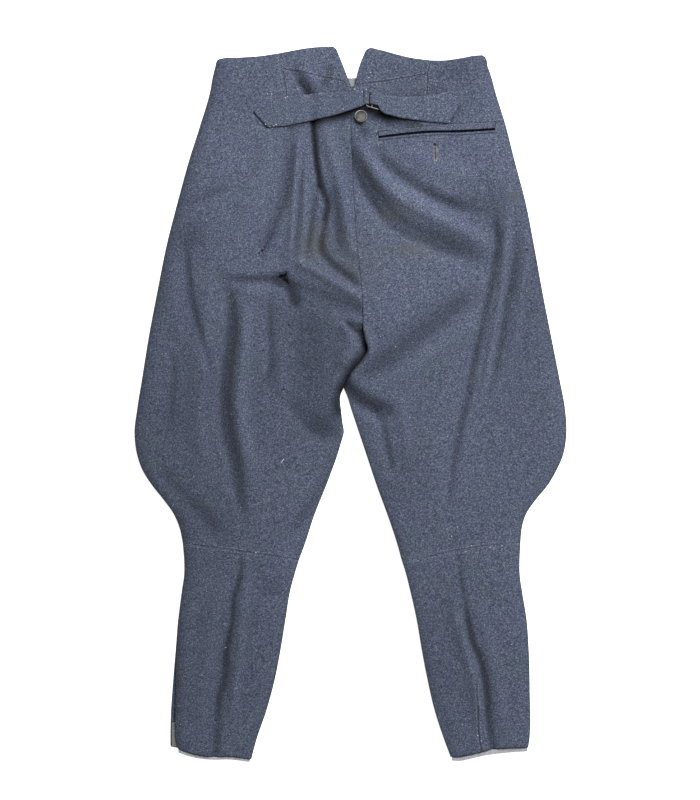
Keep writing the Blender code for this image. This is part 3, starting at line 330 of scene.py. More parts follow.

# Painted shade in creases, gaps and at the half-belt: panel, how much, how far to the left and right, and
# path.
SHADE_LINE_ROWS = """
left 0.85 7 7 23,418 24.5,424 17.5,437 5.5,451 -4,467 -9,478
left 0.7 4 4 -1,389 4,394 11,398 20,398
right 0.6 8 10 -2,472 8,486 22,496 40,506
left 0.72 8 8 -14,482 -17,491 -18,502 -17,511
left 0.75 3.5 3.5 -53,88 -51,120 -48,150 -43,196
left 0.45 6 6 -42,196 -32,222 -34,240
left 0.2 5 5 -39,268 -26,304 -6,320 6,332
left 0.5 8 8 -99,325 -88,332 -80,343 -77,356
front 0.93 10 10 -98,321 -87,326
left 0.25 1.8 1.8 -91,70 -70,67 -28,64.3 0,63.6 15,61.6
left 0.14 7 7 -60,60 -28,57 0,58
right 0.25 1.8 1.8 45,66.5 49,69 70,71 112,68.5 137,62.5
right 0.16 6 6 60,66 90,66 128,60
left 0.25 4 4 -29,30 -30,44 -38,56
left 0.28 2 2 -113,453 -119,468 -126,486
right 0.5 1.5 1.5 155.5,81 146.5,96.5 139,107
left 0.35 4 4 -123,294 -116,280 -110,262
left 0.6 4 4 -70,48 -62,58 -57,66
right 0.35 5 5 2,148 8,168 18,192 32,214 44,230
right 0.15 13 11 18,190 48,234 70,254 114,273 150,286 176,294
right 0.25 5 5 108,204 124,210 142,217
right 0.25 5 6 204,250 208,270 205,292
right 0.15 20 20 154,355 110,388 70,415 30,445
left 0.5 5 7 -86,110 -50,104 -25,98 0,91
left 0.8 5 7 -44,104 -25,100 0,93 8,89
right 0.85 6 8 -8,95 6,90 26,89 44,97 56,101
right 0.6 6 9 26,88 44,96 70,103 96,108
right 0.5 6 6 14,108 19,114 20,122
half_belt_left 0.7 0.9 0.9 18.9,63 19.2,79
half_belt_left 0.25 1.5 1.5 26.4,60 26.4,82
half_belt_right 0.4 1.2 1.2 27.2,60 27.4,82
"""
# Painted shade along the crotch lap.
LAP_SHADE = (0.8, 3, 3)
KNEE_HIGHLIGHT = (-0.15, 4.5, 4.5)  # painted highlight along the knee seams
LEFT_EDGE_DARK = 0.24  # the left outer edge is in shade
SEAM_DARK = 0.35  # and so are the seams
# Hollows get painted shade and ridges a painted highlight, against what lies near by and the broad lie of
# the cloth: rounds of averaging, and the hollow's depth and ridge's height that would change the tone by 1.
NEAR_ROUNDS, NEAR_SHADE = 24, (12, 45)
BROAD_ROUNDS, BROAD_SHADE = 150, (15, 45)
TONE_RANGE = (0.4, 1.15)

# Sewn lines that lie in a shallow groove: panel, how deep, how much painted shade, and path.
GROOVE_ROWS = """
right 0.5 0.5 177.4,886.9 177.4,906.5 178.8,921.3 179.8,955.5 182.3,975.4 184.7,985.2
left 0.5 0.45 -93.4,32.6 -90.7,52.5 -88.8,67.9
right 0.5 0.45 107.9,39.3 108.9,46.9 107.2,66.5
right 0.4 0.45 203.7,105.7 210,105 216.3,104.7
right 0.5 0.35 118.6,142.1 119,151.9 119.3,158.2
"""

# Small holes and pits, darkened with painted shade: an eyelet, moth holes and lost threads.
PITS = {
    "left": rows_of(
        Pit,
        (-188.3, 943.6, 1.3, 0.6, 0.6), (-123.2, 285.6, 2, 0.8, 0.95), (-119.7, 281.4, 1.5, 0.8, 0.8),
        (-127.5, 289.4, 1.5, 0.5, 0.9), (-85.4, 390.2, 1.6, 0.8, 0.9), (-93, 479.9, 1.7, 0.6, 0.92),
        (1.4, 62.3, 1.4, 0.6, 0.8),
    ),
    "right": rows_of(
        Pit,
        (118.6, 137.6, 2.2, 1.6, 0.92), (247.8, 284.9, 1.6, 0.8, 0.85), (260.4, 301.7, 1.6, 0.6, 0.85),
        (140, 363.3, 1.3, 0.6, 0.6), (184.8, 821.1, 1.5, 0.7, 0.6),
    ),
}

# Rows of stitches: name and thread, the length of a stitch, the gap after it and the row's path.
STITCH_ROWS = """
dart_left_a:pale 2.4 1.4 -100.2,18.9 -98.8,30.1 -96.2,44.1 -91.8,63.7
dart_left_b:pale 2.4 1.4 -95.8,18.9 -93.8,30.1 -90.4,38.5 -87.1,65.8
yoke_left_over:pale 2.2 2.4 -90.3,29.3 -74.2,31.5 -61.6,34 -50.4,37.4 -39.2,40.7 -28,41.9 -14,44.9 -8.4,47.5
yoke_left_under:pale 2.2 3 -89.6,34.2 -74.2,36.8 -61.6,39.3 -50.4,42.7 -40.6,45.2 -28,46.6 -12.6,50.3
waist_left:pale 2 3.4 -156.8,48.9 -144.2,48.2 -131.6,46.9
dart_right_a:pale 2.4 1.4 108.6,29.4 106.7,37.1 106.3,48.3 105,65.9
dart_right_b:pale 2.4 1.4 113.4,28 111.2,35.7 110.9,48.3 109.1,65.9
yoke_right_over:pale 2.4 2 14,51.9 23.1,48 37.4,47.7 53.2,45.5 70,43 85.4,40.6 103.6,37.1
yoke_right_under:pale 2.2 4.2 19.6,54.5 39.2,52.5 56,49.7 85.4,45.2
waist_right:pale 2 3 112,49 142.8,49.4 168,50 191.8,50.4
notch_left:pale 2.6 0.5 -5,49.1 -1.8,53.9
notch_foot:pale 2.6 0.5 -2.9,54.3 2.8,56.6
notch_right:pale 3 0.4 9.1,49.4 6.7,56.1
strap_left_cross:soft 2.2 1.8 -88.2,72.1 -88.2,103.5
strap_left_slant:soft 2.2 2.2 -105.4,87.5 -93.7,103.9
strap_left_tip:soft 2.2 1.6 -128.9,88.9 -123.2,97.3 -115.4,106.5
strap_right_cross:soft 2.2 1.6 109.2,72.1 109.9,93.1
jet_upper_row:pale 2.6 1.2 40.6,116.6 65.8,116.3 107.8,112.6 139.3,110.2 201.6,107
pocket_end_left:pale 3.2 0.3 37.2,117.7 38.6,129.5 40.3,142.7
pocket_end_right:pale 2 0.4 204.4,111 203.8,119.7
knee_left_over:soft 2 2.6 -232.4,694.5 -184.2,699.3 -154,703.8 -131.2,706.6 -108.4,709.9 -70.7,715.7
knee_left_under:soft 2 2.6 -232.4,699.4 -184.2,704.3 -154,708.8 -131.2,711.6 -108.4,715 -71.8,720.6
knee_right_over:soft 2 2.8 76.3,715.8 91,716.1 102.8,714.7 114.8,708.8 135.8,704.6 170.8,699 196,694.7
    232.4,690.2
knee_right_under:soft 2 2.8 77,721.7 91,720.9 109.2,716.8 135.8,710.5 170.8,705.3 210,700
calf_right_before:soft 2.4 1.6 175,892.5 175,906.5 176.4,921.3 177.2,955.5 179.8,975.4 182,984.9
calf_right_after:soft 2.4 1.6 180,892.5 180,906.5 181.4,921.3 182.4,955.5 184.9,975.4 187,984.9
calf_left_dashes:soft 2.6 3.2 -173.2,905.1 -176,924.4 -174.2,942.9 -172.2,966.7 -170.4,984.9
vent_bartack:dark 4.4 0.5 -248.4,946 -243.6,946
vent_bartack_under:pale 4 0.5 -248.1,947.9 -243.9,948.1
hole_left_short:beige 2.8 0.6 108.4,127 109.2,132.3
hole_right_short:beige 2.8 0.6 112.8,127.3 113.4,132.3
strap_below:white 2.2 0.5 -85.4,113.8 -84,117.5
lint_thigh:pale 3.4 1 -92.4,489.3 -89.3,492.7
lint_knee:white 8.5 1 -96.6,583.1 -93.8,578.9 -89.6,574.7
"""
THREAD_RADIUS = {"pale": 0.3, "soft": 0.24, "white": 0.45, "beige": 0.45, "dark": 0.8}

# Ends of thread that stand out as pale knots, and scattered lint.
KNOTS = [
    (-115.5, 66.9), (-109.6, 66.9), (-118.2, 109.8), (-111.9, 113.3), (-106.4, 111.9), (-103.2, 110.2),
    (-87.6, 70.7), (-90.4, 72.8), (16.8, 65.4), (22.8, 62.2), (139.3, 105.6), (-131.9, 708.3), (28.8, 36.8),
    (26.6, 44.2), (6.3, 60.3), (-9.5, 89.2), (169.8, 698.9), (162, 707.3), (195.7, 701.3), (212.7, 698.9),
    (135.4, 675.4), (142.1, 685.6), (178.8, 964.5), (183.7, 971.5),
]
LINT_COUNT = 170
LINT_AREA = (-290, 290, -490, 480)  # it is strewn from x to x and from y to y
EYELET = (118.6, 137.6)
BUTTONHOLE = ((118.6, 140.0), (119.3, 159.0))  # both ends of its slit

# The camera looks straight down on a frame 700 pixels wide.
FRAME_WIDTH = 700 * 1.4 * MM
FRAME_MIDDLE = (0.0, 0.0061)
FRAME_FOCUS = 0.008


# --- curves


def to_points(places):
    """Places (across, down) as points (x, y)."""
    return np.array([(across, LENGTH / 2 - down) for across, down in places])


def smooth(places, spacing=OUTLINE_STEP):
    """A round curve through places, as points about `spacing` apart."""
    knots = to_points(places)
    steps = np.diff(knots, axis=0)
    lengths = np.linalg.norm(steps, axis=1)
    slopes = steps / lengths[:, None]
    tangents = np.vstack([slopes[:1], slopes])
    before, after = lengths[:-1, None], lengths[1:, None]
    tangents[1:-1] = (slopes[:-1] * after + slopes[1:] * before) / (before + after)
    points = [knots[0]]
    for row, length in enumerate(lengths):
        count = max(1, round(length / spacing))
        for t in np.arange(1, count + 1) / count:
            swing = t * (1 - t) ** 2 * tangents[row] - t * t * (1 - t) * tangents[row + 1]
            points.append(knots[row] + t * t * (3 - 2 * t) * steps[row] + length * swing)
    return np.array(points)


def straight(places, spacing=2):
    """Points along straight lines through places."""
    ends = to_points(places)
    spans = [np.linspace(a, b, ceil(np.hypot(*(b - a)) / spacing) + 1)[:-1] for a, b in zip(ends, ends[1:])]
    return np.vstack([*spans, ends[-1:]])


def shifted(places, down):
    """The same places moved down the garment."""
    return [(across, place + down) for across, place in places]


def side_places(table, side):
    """One side of a table that holds both, as places. Outer edges are given as distances."""
    sign = -1 if side == "left" and table in (THIGH_OUTSIDE, CALF_OUTSIDE) else 1
    return [(sign * getattr(row, side), row.down) for row in table]


def loop_of(*curves):
    """Joins curves end to end into one closed loop, turned so that it runs anticlockwise."""
    points = []
    for curve in curves:
        for point in curve:
            if not points or np.hypot(*(point - points[-1])) > JOINED:
                points.append(point)
    if np.hypot(*(points[0] - points[-1])) <= JOINED:
        points.pop()
    loop = np.array(points)
    x, y = loop.T
    area = (x * np.roll(y, -1) - np.roll(x, -1) * y).sum()
    return loop if area > 0 else loop[::-1]


def sideways(ahead):
    """Unit steps to the left of some steps."""
    return np.column_stack([-ahead[:, 1], ahead[:, 0]]) / np.linalg.norm(ahead, axis=1)[:, None]


def inset(loop, distance):
    """The loop moved inward by a distance, with its corners mitred."""
    inward = sideways(np.roll(loop, -1, axis=0) - loop)
    both = inward + np.roll(inward, 1, axis=0)
    return loop + distance * both / np.maximum((both * inward).sum(axis=1), 0.35)[:, None]


def inside(points, loop):
    """Which points lie inside the closed loop."""
    x, y = points[:, :1], points[:, 1:]
    x0, y0 = loop.T
    x1, y1 = np.roll(loop, -1, axis=0).T
    crosses = (y0 > y) != (y1 > y)
    rise = np.where(y1 == y0, 1.0, y1 - y0)
    return (crosses & (x < (x1 - x0) * (y - y0) / rise + x0)).sum(axis=1) % 2 == 1


def nearest(points, line):
    """Each point's distance from the line, whether it is left of it, and its share of the way along."""
    start, step = line[:-1], np.diff(line, axis=0)
    lengths = np.linalg.norm(step, axis=1)
    reach = points[:, None, :] - start
    part = np.clip((reach * step).sum(axis=2) / lengths**2, 0, 1)
    away = np.linalg.norm(reach - part[:, :, None] * step, axis=2)
    rows, best = np.arange(len(points)), away.argmin(axis=1)
    turn = step[best, 0] * reach[rows, best, 1] - step[best, 1] * reach[rows, best, 0]
    travelled = np.concatenate([[0], np.cumsum(lengths)])
    along = (travelled[best] + part[rows, best] * lengths[best]) / travelled[-1]
    return away[rows, best], turn > 0, along


def in_parts(work, points, *more):
    """Works through a few thousand points at a time."""
    parts = np.array_split(points, ceil(len(points) / 2000))
    return np.concatenate([work(part, *more) for part in parts])


def away_from(points, line):
    """Each point's distance from a line."""
    return in_parts(lambda part: nearest(part, line)[0], points)


def away_from_all(points, lines):
    return np.min([away_from(points, line) for line in lines], axis=0)


def step_up(value):
    """0 below 0, 1 above 1 and smooth between."""
    value = np.clip(value, 0, 1)
    return value * value * (3 - 2 * value)


def quarter_round(value):
    """Rises from 0 like the quarter of a circle and stays at 1."""
    return np.sqrt(1 - (1 - np.clip(value, 0, 1)) ** 2)


def bell(away, width):
    """1 at a distance of 0, falling to 0 past the width."""
    return np.exp(-((away / width) ** 2))


def rolled(edge, roll):
    """How far a face of cloth draws back at a distance from its edge, which is rounded over a roll."""
    return roll - np.sqrt(np.maximum(roll**2 - np.maximum(roll - edge, 0) ** 2, 0))


def rows_in(text):
    """The rows of a table in text, each as its word, its values and the places of its path."""
    rows = []
    for word in text.split():
        if word[0].isalpha():
            rows.append((word, [], []))
        elif "," in word:
            rows[-1][2].append([float(value) for value in word.split(",")])
        else:
            rows[-1][1].append(float(word))
    return rows


def by_panel(kind, text, spacing):
    """The rows of a table by panel, with their paths made into lines."""
    table = {}
    for panel, values, path in rows_in(text):
        table.setdefault(panel, []).append(kind(*values, smooth(path, spacing)))
    return table


FOLDS = {
    side: [Fold(name, *values, smooth(path or CROTCH_LAP, FOLD_STEP)) for name, values, path in rows_in(text)]
    for side, text in (("left", LEFT_FOLDS), ("right", RIGHT_FOLDS))
}
GROOVES = by_panel(Groove, GROOVE_ROWS, 1.5)
SHADING_LINES = by_panel(Crease, SHADE_LINE_ROWS, 4)
SHADING_LINES["right"].append(Crease(*LAP_SHADE, smooth(CROTCH_LAP, 4)))
for side in SIDES:
    SHADING_LINES[side].append(Crease(*KNEE_HIGHLIGHT, smooth(KNEE[side], 4)))
FOLDED_EDGES = [
    smooth(side_places(table, side), 7)
    for table in (THIGH_OUTSIDE, CALF_OUTSIDE, INSEAM, CALF_INSIDE)
    for side in SIDES
]
OPEN_EDGES = [smooth(edge[side], 7) for edge in (WAIST, YOKE_TOP, NOTCH, HEM) for side in SIDES]
LEFT_OUTSIDE = smooth(side_places(THIGH_OUTSIDE, "left") + side_places(CALF_OUTSIDE, "left")[1:], 7)


def relief(points, side):
    """Height of the back's upper face over the floor on that side of the centre seam."""
    height = np.full(len(points), BASE)
    for fold in FOLDS[side]:
        away, is_left, along = nearest(points, fold.line)
        faded = step_up(along / END_FADE) * step_up((1 - along) / END_FADE)
        fade = 1.0 if fold.name in OPEN_FOLDS else faded
        height += fold.height * fade * bell(away, np.where(is_left, fold.left, fold.right))
    down = LENGTH / 2 - points[:, 1]
    at_hem = step_up((down - OPEN_FROM) / (OPEN_TO - OPEN_FROM))
    at_waist = step_up((LINED_TO - down) / (LINED_TO - LINED_FROM))
    rim = RIM + (OPEN_RIM - RIM) * at_hem
    floor = RIM + (OPEN_RIM - RIM) * np.maximum(at_hem, at_waist)
    raised = 0.5 * (height + floor + np.hypot(height - floor, 1.0))
    drop = HEM_DROP * (1 - quarter_round(away_from_all(points, OPEN_EDGES) / HEM_EASE))
    return rim + (raised - rim) * quarter_round(away_from_all(points, FOLDED_EDGES) / EDGE_EASE) * (1 - drop)


def unevenness(points):
    """Small soft waves that the main folds leave out."""
    return np.array([
        sum(height * noise.noise(Vector((x / wide, y / tall, level))) for height, wide, tall, level in WAVES)
        for x, y in points
    ])


# --- materials


class Shader:
    """A material that is built one node at a time."""

    def __init__(self, name):
        self.material = bpy.data.materials.new(name)
        self.material.use_nodes = True
        self.tree = self.material.node_tree
        self.place = self.add("TexCoord").outputs["Object"]

    def put(self, sockets, values):
        """Links sockets or sets them to constants. A colour is given without its alpha."""
        for key, value in dict(values).items():
            if isinstance(value, bpy.types.NodeSocket):
                self.tree.links.new(value, sockets[key])
            else:
                sockets[key].default_value = (*value, 1) if sockets[key].type == "RGBA" else value

    def add(self, kind, inputs=(), **settings):
        made = self.tree.nodes.new("ShaderNode" + kind)
        for key, value in settings.items():
            setattr(made, key, value)
        self.put(made.inputs, inputs)
        return made

    def noise(self, scale, detail=2.0, roughness=0.5, place=None):
        inputs = {"Vector": place or self.place, "Scale": scale, "Detail": detail, "Roughness": roughness}
        return self.add("TexNoise", inputs).outputs["Fac"]

    def turned(self, degrees, scale=(1, 1, 1)):
        inputs = {"Vector": self.place, "Rotation": (0, 0, radians(degrees)), "Scale": scale}
        return self.add("Mapping", inputs).outputs["Vector"]

    def range(self, value, low, high, to_low=0.0, to_high=1.0):
        inputs = {"Value": value, "From Min": low, "From Max": high, "To Min": to_low, "To Max": to_high}
        return self.add("MapRange", inputs).outputs["Result"]

    def mix(self, share, first, second, blend="MIX"):
        inputs = {"Factor": share, 6: first, 7: second}
        return self.add("Mix", inputs, data_type="RGBA", blend_type=blend).outputs[2]

    def ramp(self, value, stops):
        made = self.add("ValToRGB", {"Fac": value})
        elements = made.color_ramp.elements
        while len(elements) < len(stops):
            elements.new(0.5)
        for element, (position, colour) in zip(elements, stops):
            element.position = position
            element.color = (*colour, 1)
        return made.outputs["Color"]

    def attribute(self, name):
        return self.add("Attribute", attribute_name=name).outputs["Fac"]

    def bump(self, height, strength, distance, **under):
        inputs = {"Height": height, "Strength": strength, "Distance": distance, **under}
        return self.add("Bump", inputs).outputs["Normal"]

    def finish(self, values):
        self.put(self.tree.nodes["Principled BSDF"].inputs, values)
        return self.material


FIBRES = [
    (0.29, (0.006, 0.009, 0.019)), (0.42, (0.030, 0.038, 0.065)), (0.52, (0.056, 0.067, 0.098)),
    (0.62, (0.100, 0.114, 0.152)), (0.74, (0.23, 0.25, 0.30)),
]


def wool_material():
    """Milled wool spun from mixed navy, grey-blue and white fibres."""
    shader = Shader("wool_melange")
    colour = shader.ramp(shader.noise(560, 3.0, 0.75), FIBRES)
    violet = shader.range(shader.noise(38), 0.35, 0.65, 0, 0.55)
    colour = shader.mix(violet, colour, (1.04, 0.97, 1.10), "MULTIPLY")
    green = shader.range(shader.noise(29, place=shader.turned(37)), 0.42, 0.68, 0, 0.6)
    colour = shader.mix(green, colour, (0.93, 1.02, 0.93), "MULTIPLY")
    flecks = shader.range(shader.noise(430, 1.0, place=shader.turned(20, (1, 1.7, 1))), 0.66, 0.74, 0, 0.5)
    colour = shader.mix(flecks, colour, (0.22, 0.235, 0.265))
    patches = shader.range(shader.noise(90, 3.0, 0.6), 0.3, 0.6, 0.4, 1.0)
    soil = shader.range(shader.attribute("soil"), 0, 1, 0, patches)
    colour = shader.mix(soil, colour, (0.060, 0.056, 0.040))
    # The tone layer holds painted shade and painted light.
    toned = shader.add("HueSaturation", {"Color": colour, "Value": shader.attribute("tone")})
    fuzz = shader.bump(shader.noise(900, 2.0, 0.6), 0.35, 0.0006)
    return shader.finish({
        "Base Color": toned.outputs["Color"],
        "Roughness": 0.95,
        "Normal": shader.bump(shader.noise(170, 3.0, 0.55), 0.25, 0.0012, Normal=fuzz),
        "Sheen Weight": 0.08,
        "Sheen Roughness": 0.55,
        "Specular IOR Level": 0.12,
    })


def woven_material(name, dark, pale):
    """Plain cotton with a fine twill line."""
    shader = Shader(name)
    inputs = {"Vector": shader.turned(45), "Scale": 900, "Distortion": 1.5, "Detail": 2.0}
    twill = shader.add("TexWave", inputs).outputs["Fac"]
    colour = shader.mix(shader.range(shader.noise(600, 2.0, 0.6), 0.35, 0.65), dark, pale)
    colour = shader.mix(shader.range(twill, 0, 1, 0, 0.35), colour, (0.7, 0.7, 0.7), "MULTIPLY")
    return shader.finish({"Base Color": colour, "Roughness": 0.9, "Normal": shader.bump(twill, 0.4, 0.0003)})


def thread_material(name, dark, pale):
    shader = Shader(name)
    colour = shader.mix(shader.range(shader.noise(300), 0.35, 0.65), dark, pale)
    return shader.finish({"Base Color": colour, "Roughness": 0.8})


def metal_material(name, dark, pale, roughness, metallic):
    """Dull old metal with darker stains. One painted layer makes it paler, for worn metal and a painted
    highlight; another makes it near black, for painted shade.
    """
    shader = Shader(name)
    stain = shader.range(shader.noise(420, 4.0, 0.65), 0.35, 0.7)
    colour = shader.mix(stain, dark, pale)
    colour = shader.mix(shader.attribute("worn"), colour, (0.30, 0.28, 0.245))
    return shader.finish({
        "Base Color": shader.mix(shader.attribute("stained"), colour, (0.012, 0.012, 0.011)),
        "Roughness": shader.range(stain, 0, 1, roughness + 0.2, roughness),
        "Metallic": metallic,
        "Normal": shader.bump(shader.noise(1500, 2.0, 0.6), 0.25, 0.0002),
    })


def floor_material():
    shader = Shader("paper")
    grain = shader.range(shader.noise(6), 0.3, 0.7)
    return shader.finish({
        "Base Color": shader.mix(grain, (0.93, 0.93, 0.93), (0.95, 0.95, 0.95)),
        "Emission Color": (1, 1, 1),
        "Emission Strength": 0.8,
        "Roughness": 0.9,
    })


WOOL = wool_material()
LINING_CLOTH = woven_material("grey_twill", (0.12, 0.124, 0.134), (0.26, 0.267, 0.28))
TAPE_CLOTH = woven_material("grey_tape", (0.21, 0.22, 0.24), (0.40, 0.415, 0.45))
FACING_CLOTH = woven_material("dark_grey_tape", (0.085, 0.092, 0.10), (0.19, 0.20, 0.21))
THREAD = thread_material("pale_thread", (0.14, 0.145, 0.17), (0.30, 0.30, 0.32))
BEIGE_THREAD = thread_material("beige_thread", (0.10, 0.095, 0.09), (0.20, 0.19, 0.175))
DARK_THREAD = thread_material("dark_thread", (0.012, 0.012, 0.016), (0.03, 0.03, 0.04))
LINT = thread_material("lint", (0.38, 0.38, 0.40), (0.60, 0.60, 0.61))
WIRE_METAL = metal_material("old_wire", (0.12, 0.11, 0.095), (0.24, 0.225, 0.20), 0.45, 0.35)
BUTTON_METAL = metal_material("old_zinc", (0.04, 0.04, 0.037), (0.085, 0.085, 0.078), 0.55, 0.15)


# --- meshes


def linked(name, data):
    """A new object in the scene."""
    made = bpy.data.objects.new(name, data)
    bpy.context.scene.collection.objects.link(made)
    return made


def thing_of(name, corners, polygons, material):
    """A mesh object from corners in millimetres."""
    mesh = bpy.data.meshes.new(name)
    mesh.from_pydata((np.asarray(corners, dtype=float) * MM).tolist(), [], polygons)
    mesh.materials.append(material)
    mesh.shade_smooth()
    return linked(name, mesh)


def declared(piece, node=None):
    """Says what a piece moves with, and hides the solid that it stands for."""
    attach(piece, "root")
    if node is not None:
        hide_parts(node)
    return piece


def paint(piece, **layers):
    """Stores values at the mesh's points, for its material."""
    for name, values in layers.items():
        layer = piece.data.attributes.new(name, "FLOAT", "POINT")
        layer.data.foreach_set("value", np.asarray(values, dtype=np.float32))


def ring(centre, radius, count):
    turns = 2 * pi * np.arange(count) / count
    return np.asarray(centre) + radius * np.column_stack([np.cos(turns), np.sin(turns)])


def fill(loop, hole=None, pitch=GRID, lines=(), pits=()):
    """Fills a loop with fine triangles that follow its edge, some lines and some pits."""
    borders = [loop] if hole is None else [loop, hole]
    around = [np.vstack([border, border[:1]]) for border in borders]

    def on_cloth(points):
        fits = in_parts(inside, points, loop)
        return fits if hole is None else fits & ~in_parts(inside, points, hole)

    kept = list(borders)
    for gap in EDGE_RINGS:
        for border, sign in zip(borders, (1, -1)):
            points = inset(border, sign * gap)
            kept.append(points[on_cloth(points) & (away_from_all(points, around) > gap * 0.9)])
    low, high = loop.min(axis=0), loop.max(axis=0)
    rows = np.arange(low[1], high[1], pitch * sin(pi / 3))
    across = np.arange(low[0], high[0], pitch)
    grid = np.array([(x + pitch / 2 * (row % 2), y) for row, y in enumerate(rows) for x in across])
    grid = grid[on_cloth(grid)]
    grid = grid[away_from_all(grid, around) > EDGE_RINGS[-1] + 0.55 * pitch]
    for line in lines:
        for offset in LINE_ROWS:
            points = line + offset * sideways(np.gradient(line, axis=0))
            kept.append(points[on_cloth(points) & (away_from_all(points, around) > 0.6)])
        grid = grid[away_from(grid, line) > max(LINE_ROWS) + 1]
    for centre, radius in pits:
        kept += [ring(centre, radius * share, count) for share, count in PIT_RINGS]
        grid = grid[np.hypot(*(grid - centre).T) > 1.5 * radius + 1.2]
    kept.append(grid)
    starts = np.cumsum([0] + [len(border) for border in borders])
    edges = [
        (start + (i - 1) % len(border), start + i)
        for start, border in zip(starts, borders)
        for i in range(len(border))
    ]
    points, _, faces, *_ = delaunay_2d_cdt([Vector(point) for point in np.vstack(kept)], edges, [], 1, 1e-4)
    points = np.array([tuple(point) for point in points])
    faces = np.array([tuple(face) for face in faces])
    if hole is not None:
        faces = faces[~in_parts(inside, points[faces].mean(axis=1), hole)]
    return points, faces, away_from_all(points, around)


def edges_of(faces):
    return np.concatenate([faces[:, [0, 1]], faces[:, [1, 2]], faces[:, [2, 0]]])


def shell(name, points, faces, edge, top, thickness, material):
    """A closed sheet of cloth with rounded edges, from its upper face."""
    drop = rolled(edge, min(thickness / 2 - EDGE_FLAT, EDGE_ROLL))
    ends = edges_of(faces).tolist()
    paired = {(b, a) for a, b in ends}
    count = len(points)
    corners = [np.column_stack([points, height]) for height in (top - drop, top - thickness + drop)]
    sides = [(b, a, a + count, b + count) for a, b in ends if (a, b) not in paired]
    polygons = faces.tolist() + (faces[:, ::-1] + count).tolist() + sides
    return thing_of(name, np.vstack(corners), polygons, material)


def spread_out(values, faces, rounds):
    """Values at a mesh's points, each averaged with its neighbours' a number of times."""
    first, second = edges_of(faces).T
    count = len(values)
    degree = np.bincount(np.concatenate([first, second]), minlength=count)
    for _ in range(rounds):
        total = np.bincount(first, values[second], count) + np.bincount(second, values[first], count)
        values = 0.4 * values + 0.6 * total / degree
    return values


def pressed(points, side):
    """How far sewn lines and pits sink into the cloth of a side, and how much painted shade darkens them, 0
    to 1.
    """
    depth, dark = np.zeros(len(points)), np.zeros(len(points))
    marks = [(groove, bell(away_from(points, groove.line), 0.75)) for groove in GROOVES.get(side, [])]
    for pit in PITS.get(side, []):
        gap = np.hypot(points[:, 0] - pit.across, LENGTH / 2 - points[:, 1] - pit.down)
        marks.append((pit, step_up(1.35 - gap / pit.radius)))
    for mark, near in marks:
        depth, dark = np.maximum(depth, mark.depth * near), np.maximum(dark, mark.amount * near)
    return depth, dark


def with_painted_shading(tone, points, panel):
    """Paints shade along the lines of a panel, or a highlight where the amount is below 0."""
    for crease in SHADING_LINES.get(panel, []):
        away, is_left, _ = nearest(points, crease.line)
        tone = tone * (1 - crease.amount * bell(away, np.where(is_left, crease.left, crease.right)))
    return tone


def spot_weight(points, spot):
    """1 at the middle of a soft oval spot, falling to 0 round it."""
    across = (points[:, 0] - spot.across) / spot.wide
    down = (LENGTH / 2 - points[:, 1] - spot.down) / spot.tall
    return np.exp(-(across**2) - down**2)


def shaded(depth, hollow, ridge):
    """How much painted shade darkens the cloth in a hollow of a depth, or painted highlight lightens a ridge,
    below 0.
    """
    return np.where(depth > 0, depth / hollow, depth / ridge)


def wool_layers(piece, side, points, faces, edge, top, seam_dark):
    """Painted shade in hollows, grooves, pits, seams and along lines, painted highlight on ridges, broad
    painted light and shade, and soil.
    """
    near = spread_out(top, faces, NEAR_ROUNDS)
    broad = spread_out(near, faces, BROAD_ROUNDS)
    tone = np.clip(1.0 - shaded(near - top, *NEAR_SHADE) - shaded(broad - top, *BROAD_SHADE), *TONE_RANGE)
    tone *= 1 - LEFT_EDGE_DARK * bell(away_from(points, LEFT_OUTSIDE), 11)
    for spot in LIGHT_AND_SHADE_SPOTS:
        tone *= 1 + spot.amount * spot_weight(points, spot)
    # Painted shade and highlight along lines, and painted shade in grooves, pits and at the seams.
    tone = with_painted_shading(tone, points, side) * (1 - pressed(points, side)[1]) * (1 - seam_dark * bell(edge, 0.7))
    soil = np.max([spot.amount * spot_weight(points, spot) for spot in SOILED], axis=0)
    paint(piece, tone=np.tile(tone, 2), soil=np.tile(soil, 2))


# --- cloth pieces


Cloth = namedtuple("Cloth", "prefix slot thickness material")
WOOLLEN = Cloth("wool_", "wool", CLOTH, WOOL)
TWILL = Cloth("twill_", "lining", LINING, LINING_CLOTH)
TAPE_COTTON = Cloth("cotton_", "tape", LINING, TAPE_CLOTH)
FACING_COTTON = Cloth("cotton_", "tape", LINING, FACING_CLOTH)


def cloth_piece(cloth, node, curves, height, side="front", gap=SEAM_GAP, seam_dark=0.0, **mesh):
    """A piece inside the curves of its outline. `height` gives its upper face at its points."""
    points, faces, edge = fill(inset(loop_of(*curves), gap / 2), **mesh)
    top = height(points)
    piece = shell(cloth.prefix + node, points, faces, edge, top, cloth.thickness, cloth.material)
    if cloth is WOOLLEN:
        wool_layers(piece, side, points, faces, edge, top, seam_dark)
    return declared(piece, node)


def back_panel(node, side, *curves, hole=None):
    loop = inset(loop_of(*curves), SEWN_GAP / 2)
    pits = [(to_points([pit[:2]])[0], pit.radius) for pit in PITS[side]]
    pits = [(centre, radius) for centre, radius in pits if inside(centre[None], inset(loop, 2 * radius))[0]]

    def height(points):
        heights = in_parts(relief, points, side)
        return heights + unevenness(points) * np.clip((heights - RIM) / 4, 0, 1) - pressed(points, side)[0]

    return cloth_piece(
        WOOLLEN, node, curves, height, side, SEWN_GAP, SEAM_DARK,
        hole=hole, lines=[groove.line for groove in GROOVES[side]], pits=pits,
    )


def flat_piece(cloth, node, low, *curves, pitch=6.0):
    top = low + cloth.thickness
    return cloth_piece(cloth, node, curves, lambda points: np.full(len(points), top), pitch=pitch)


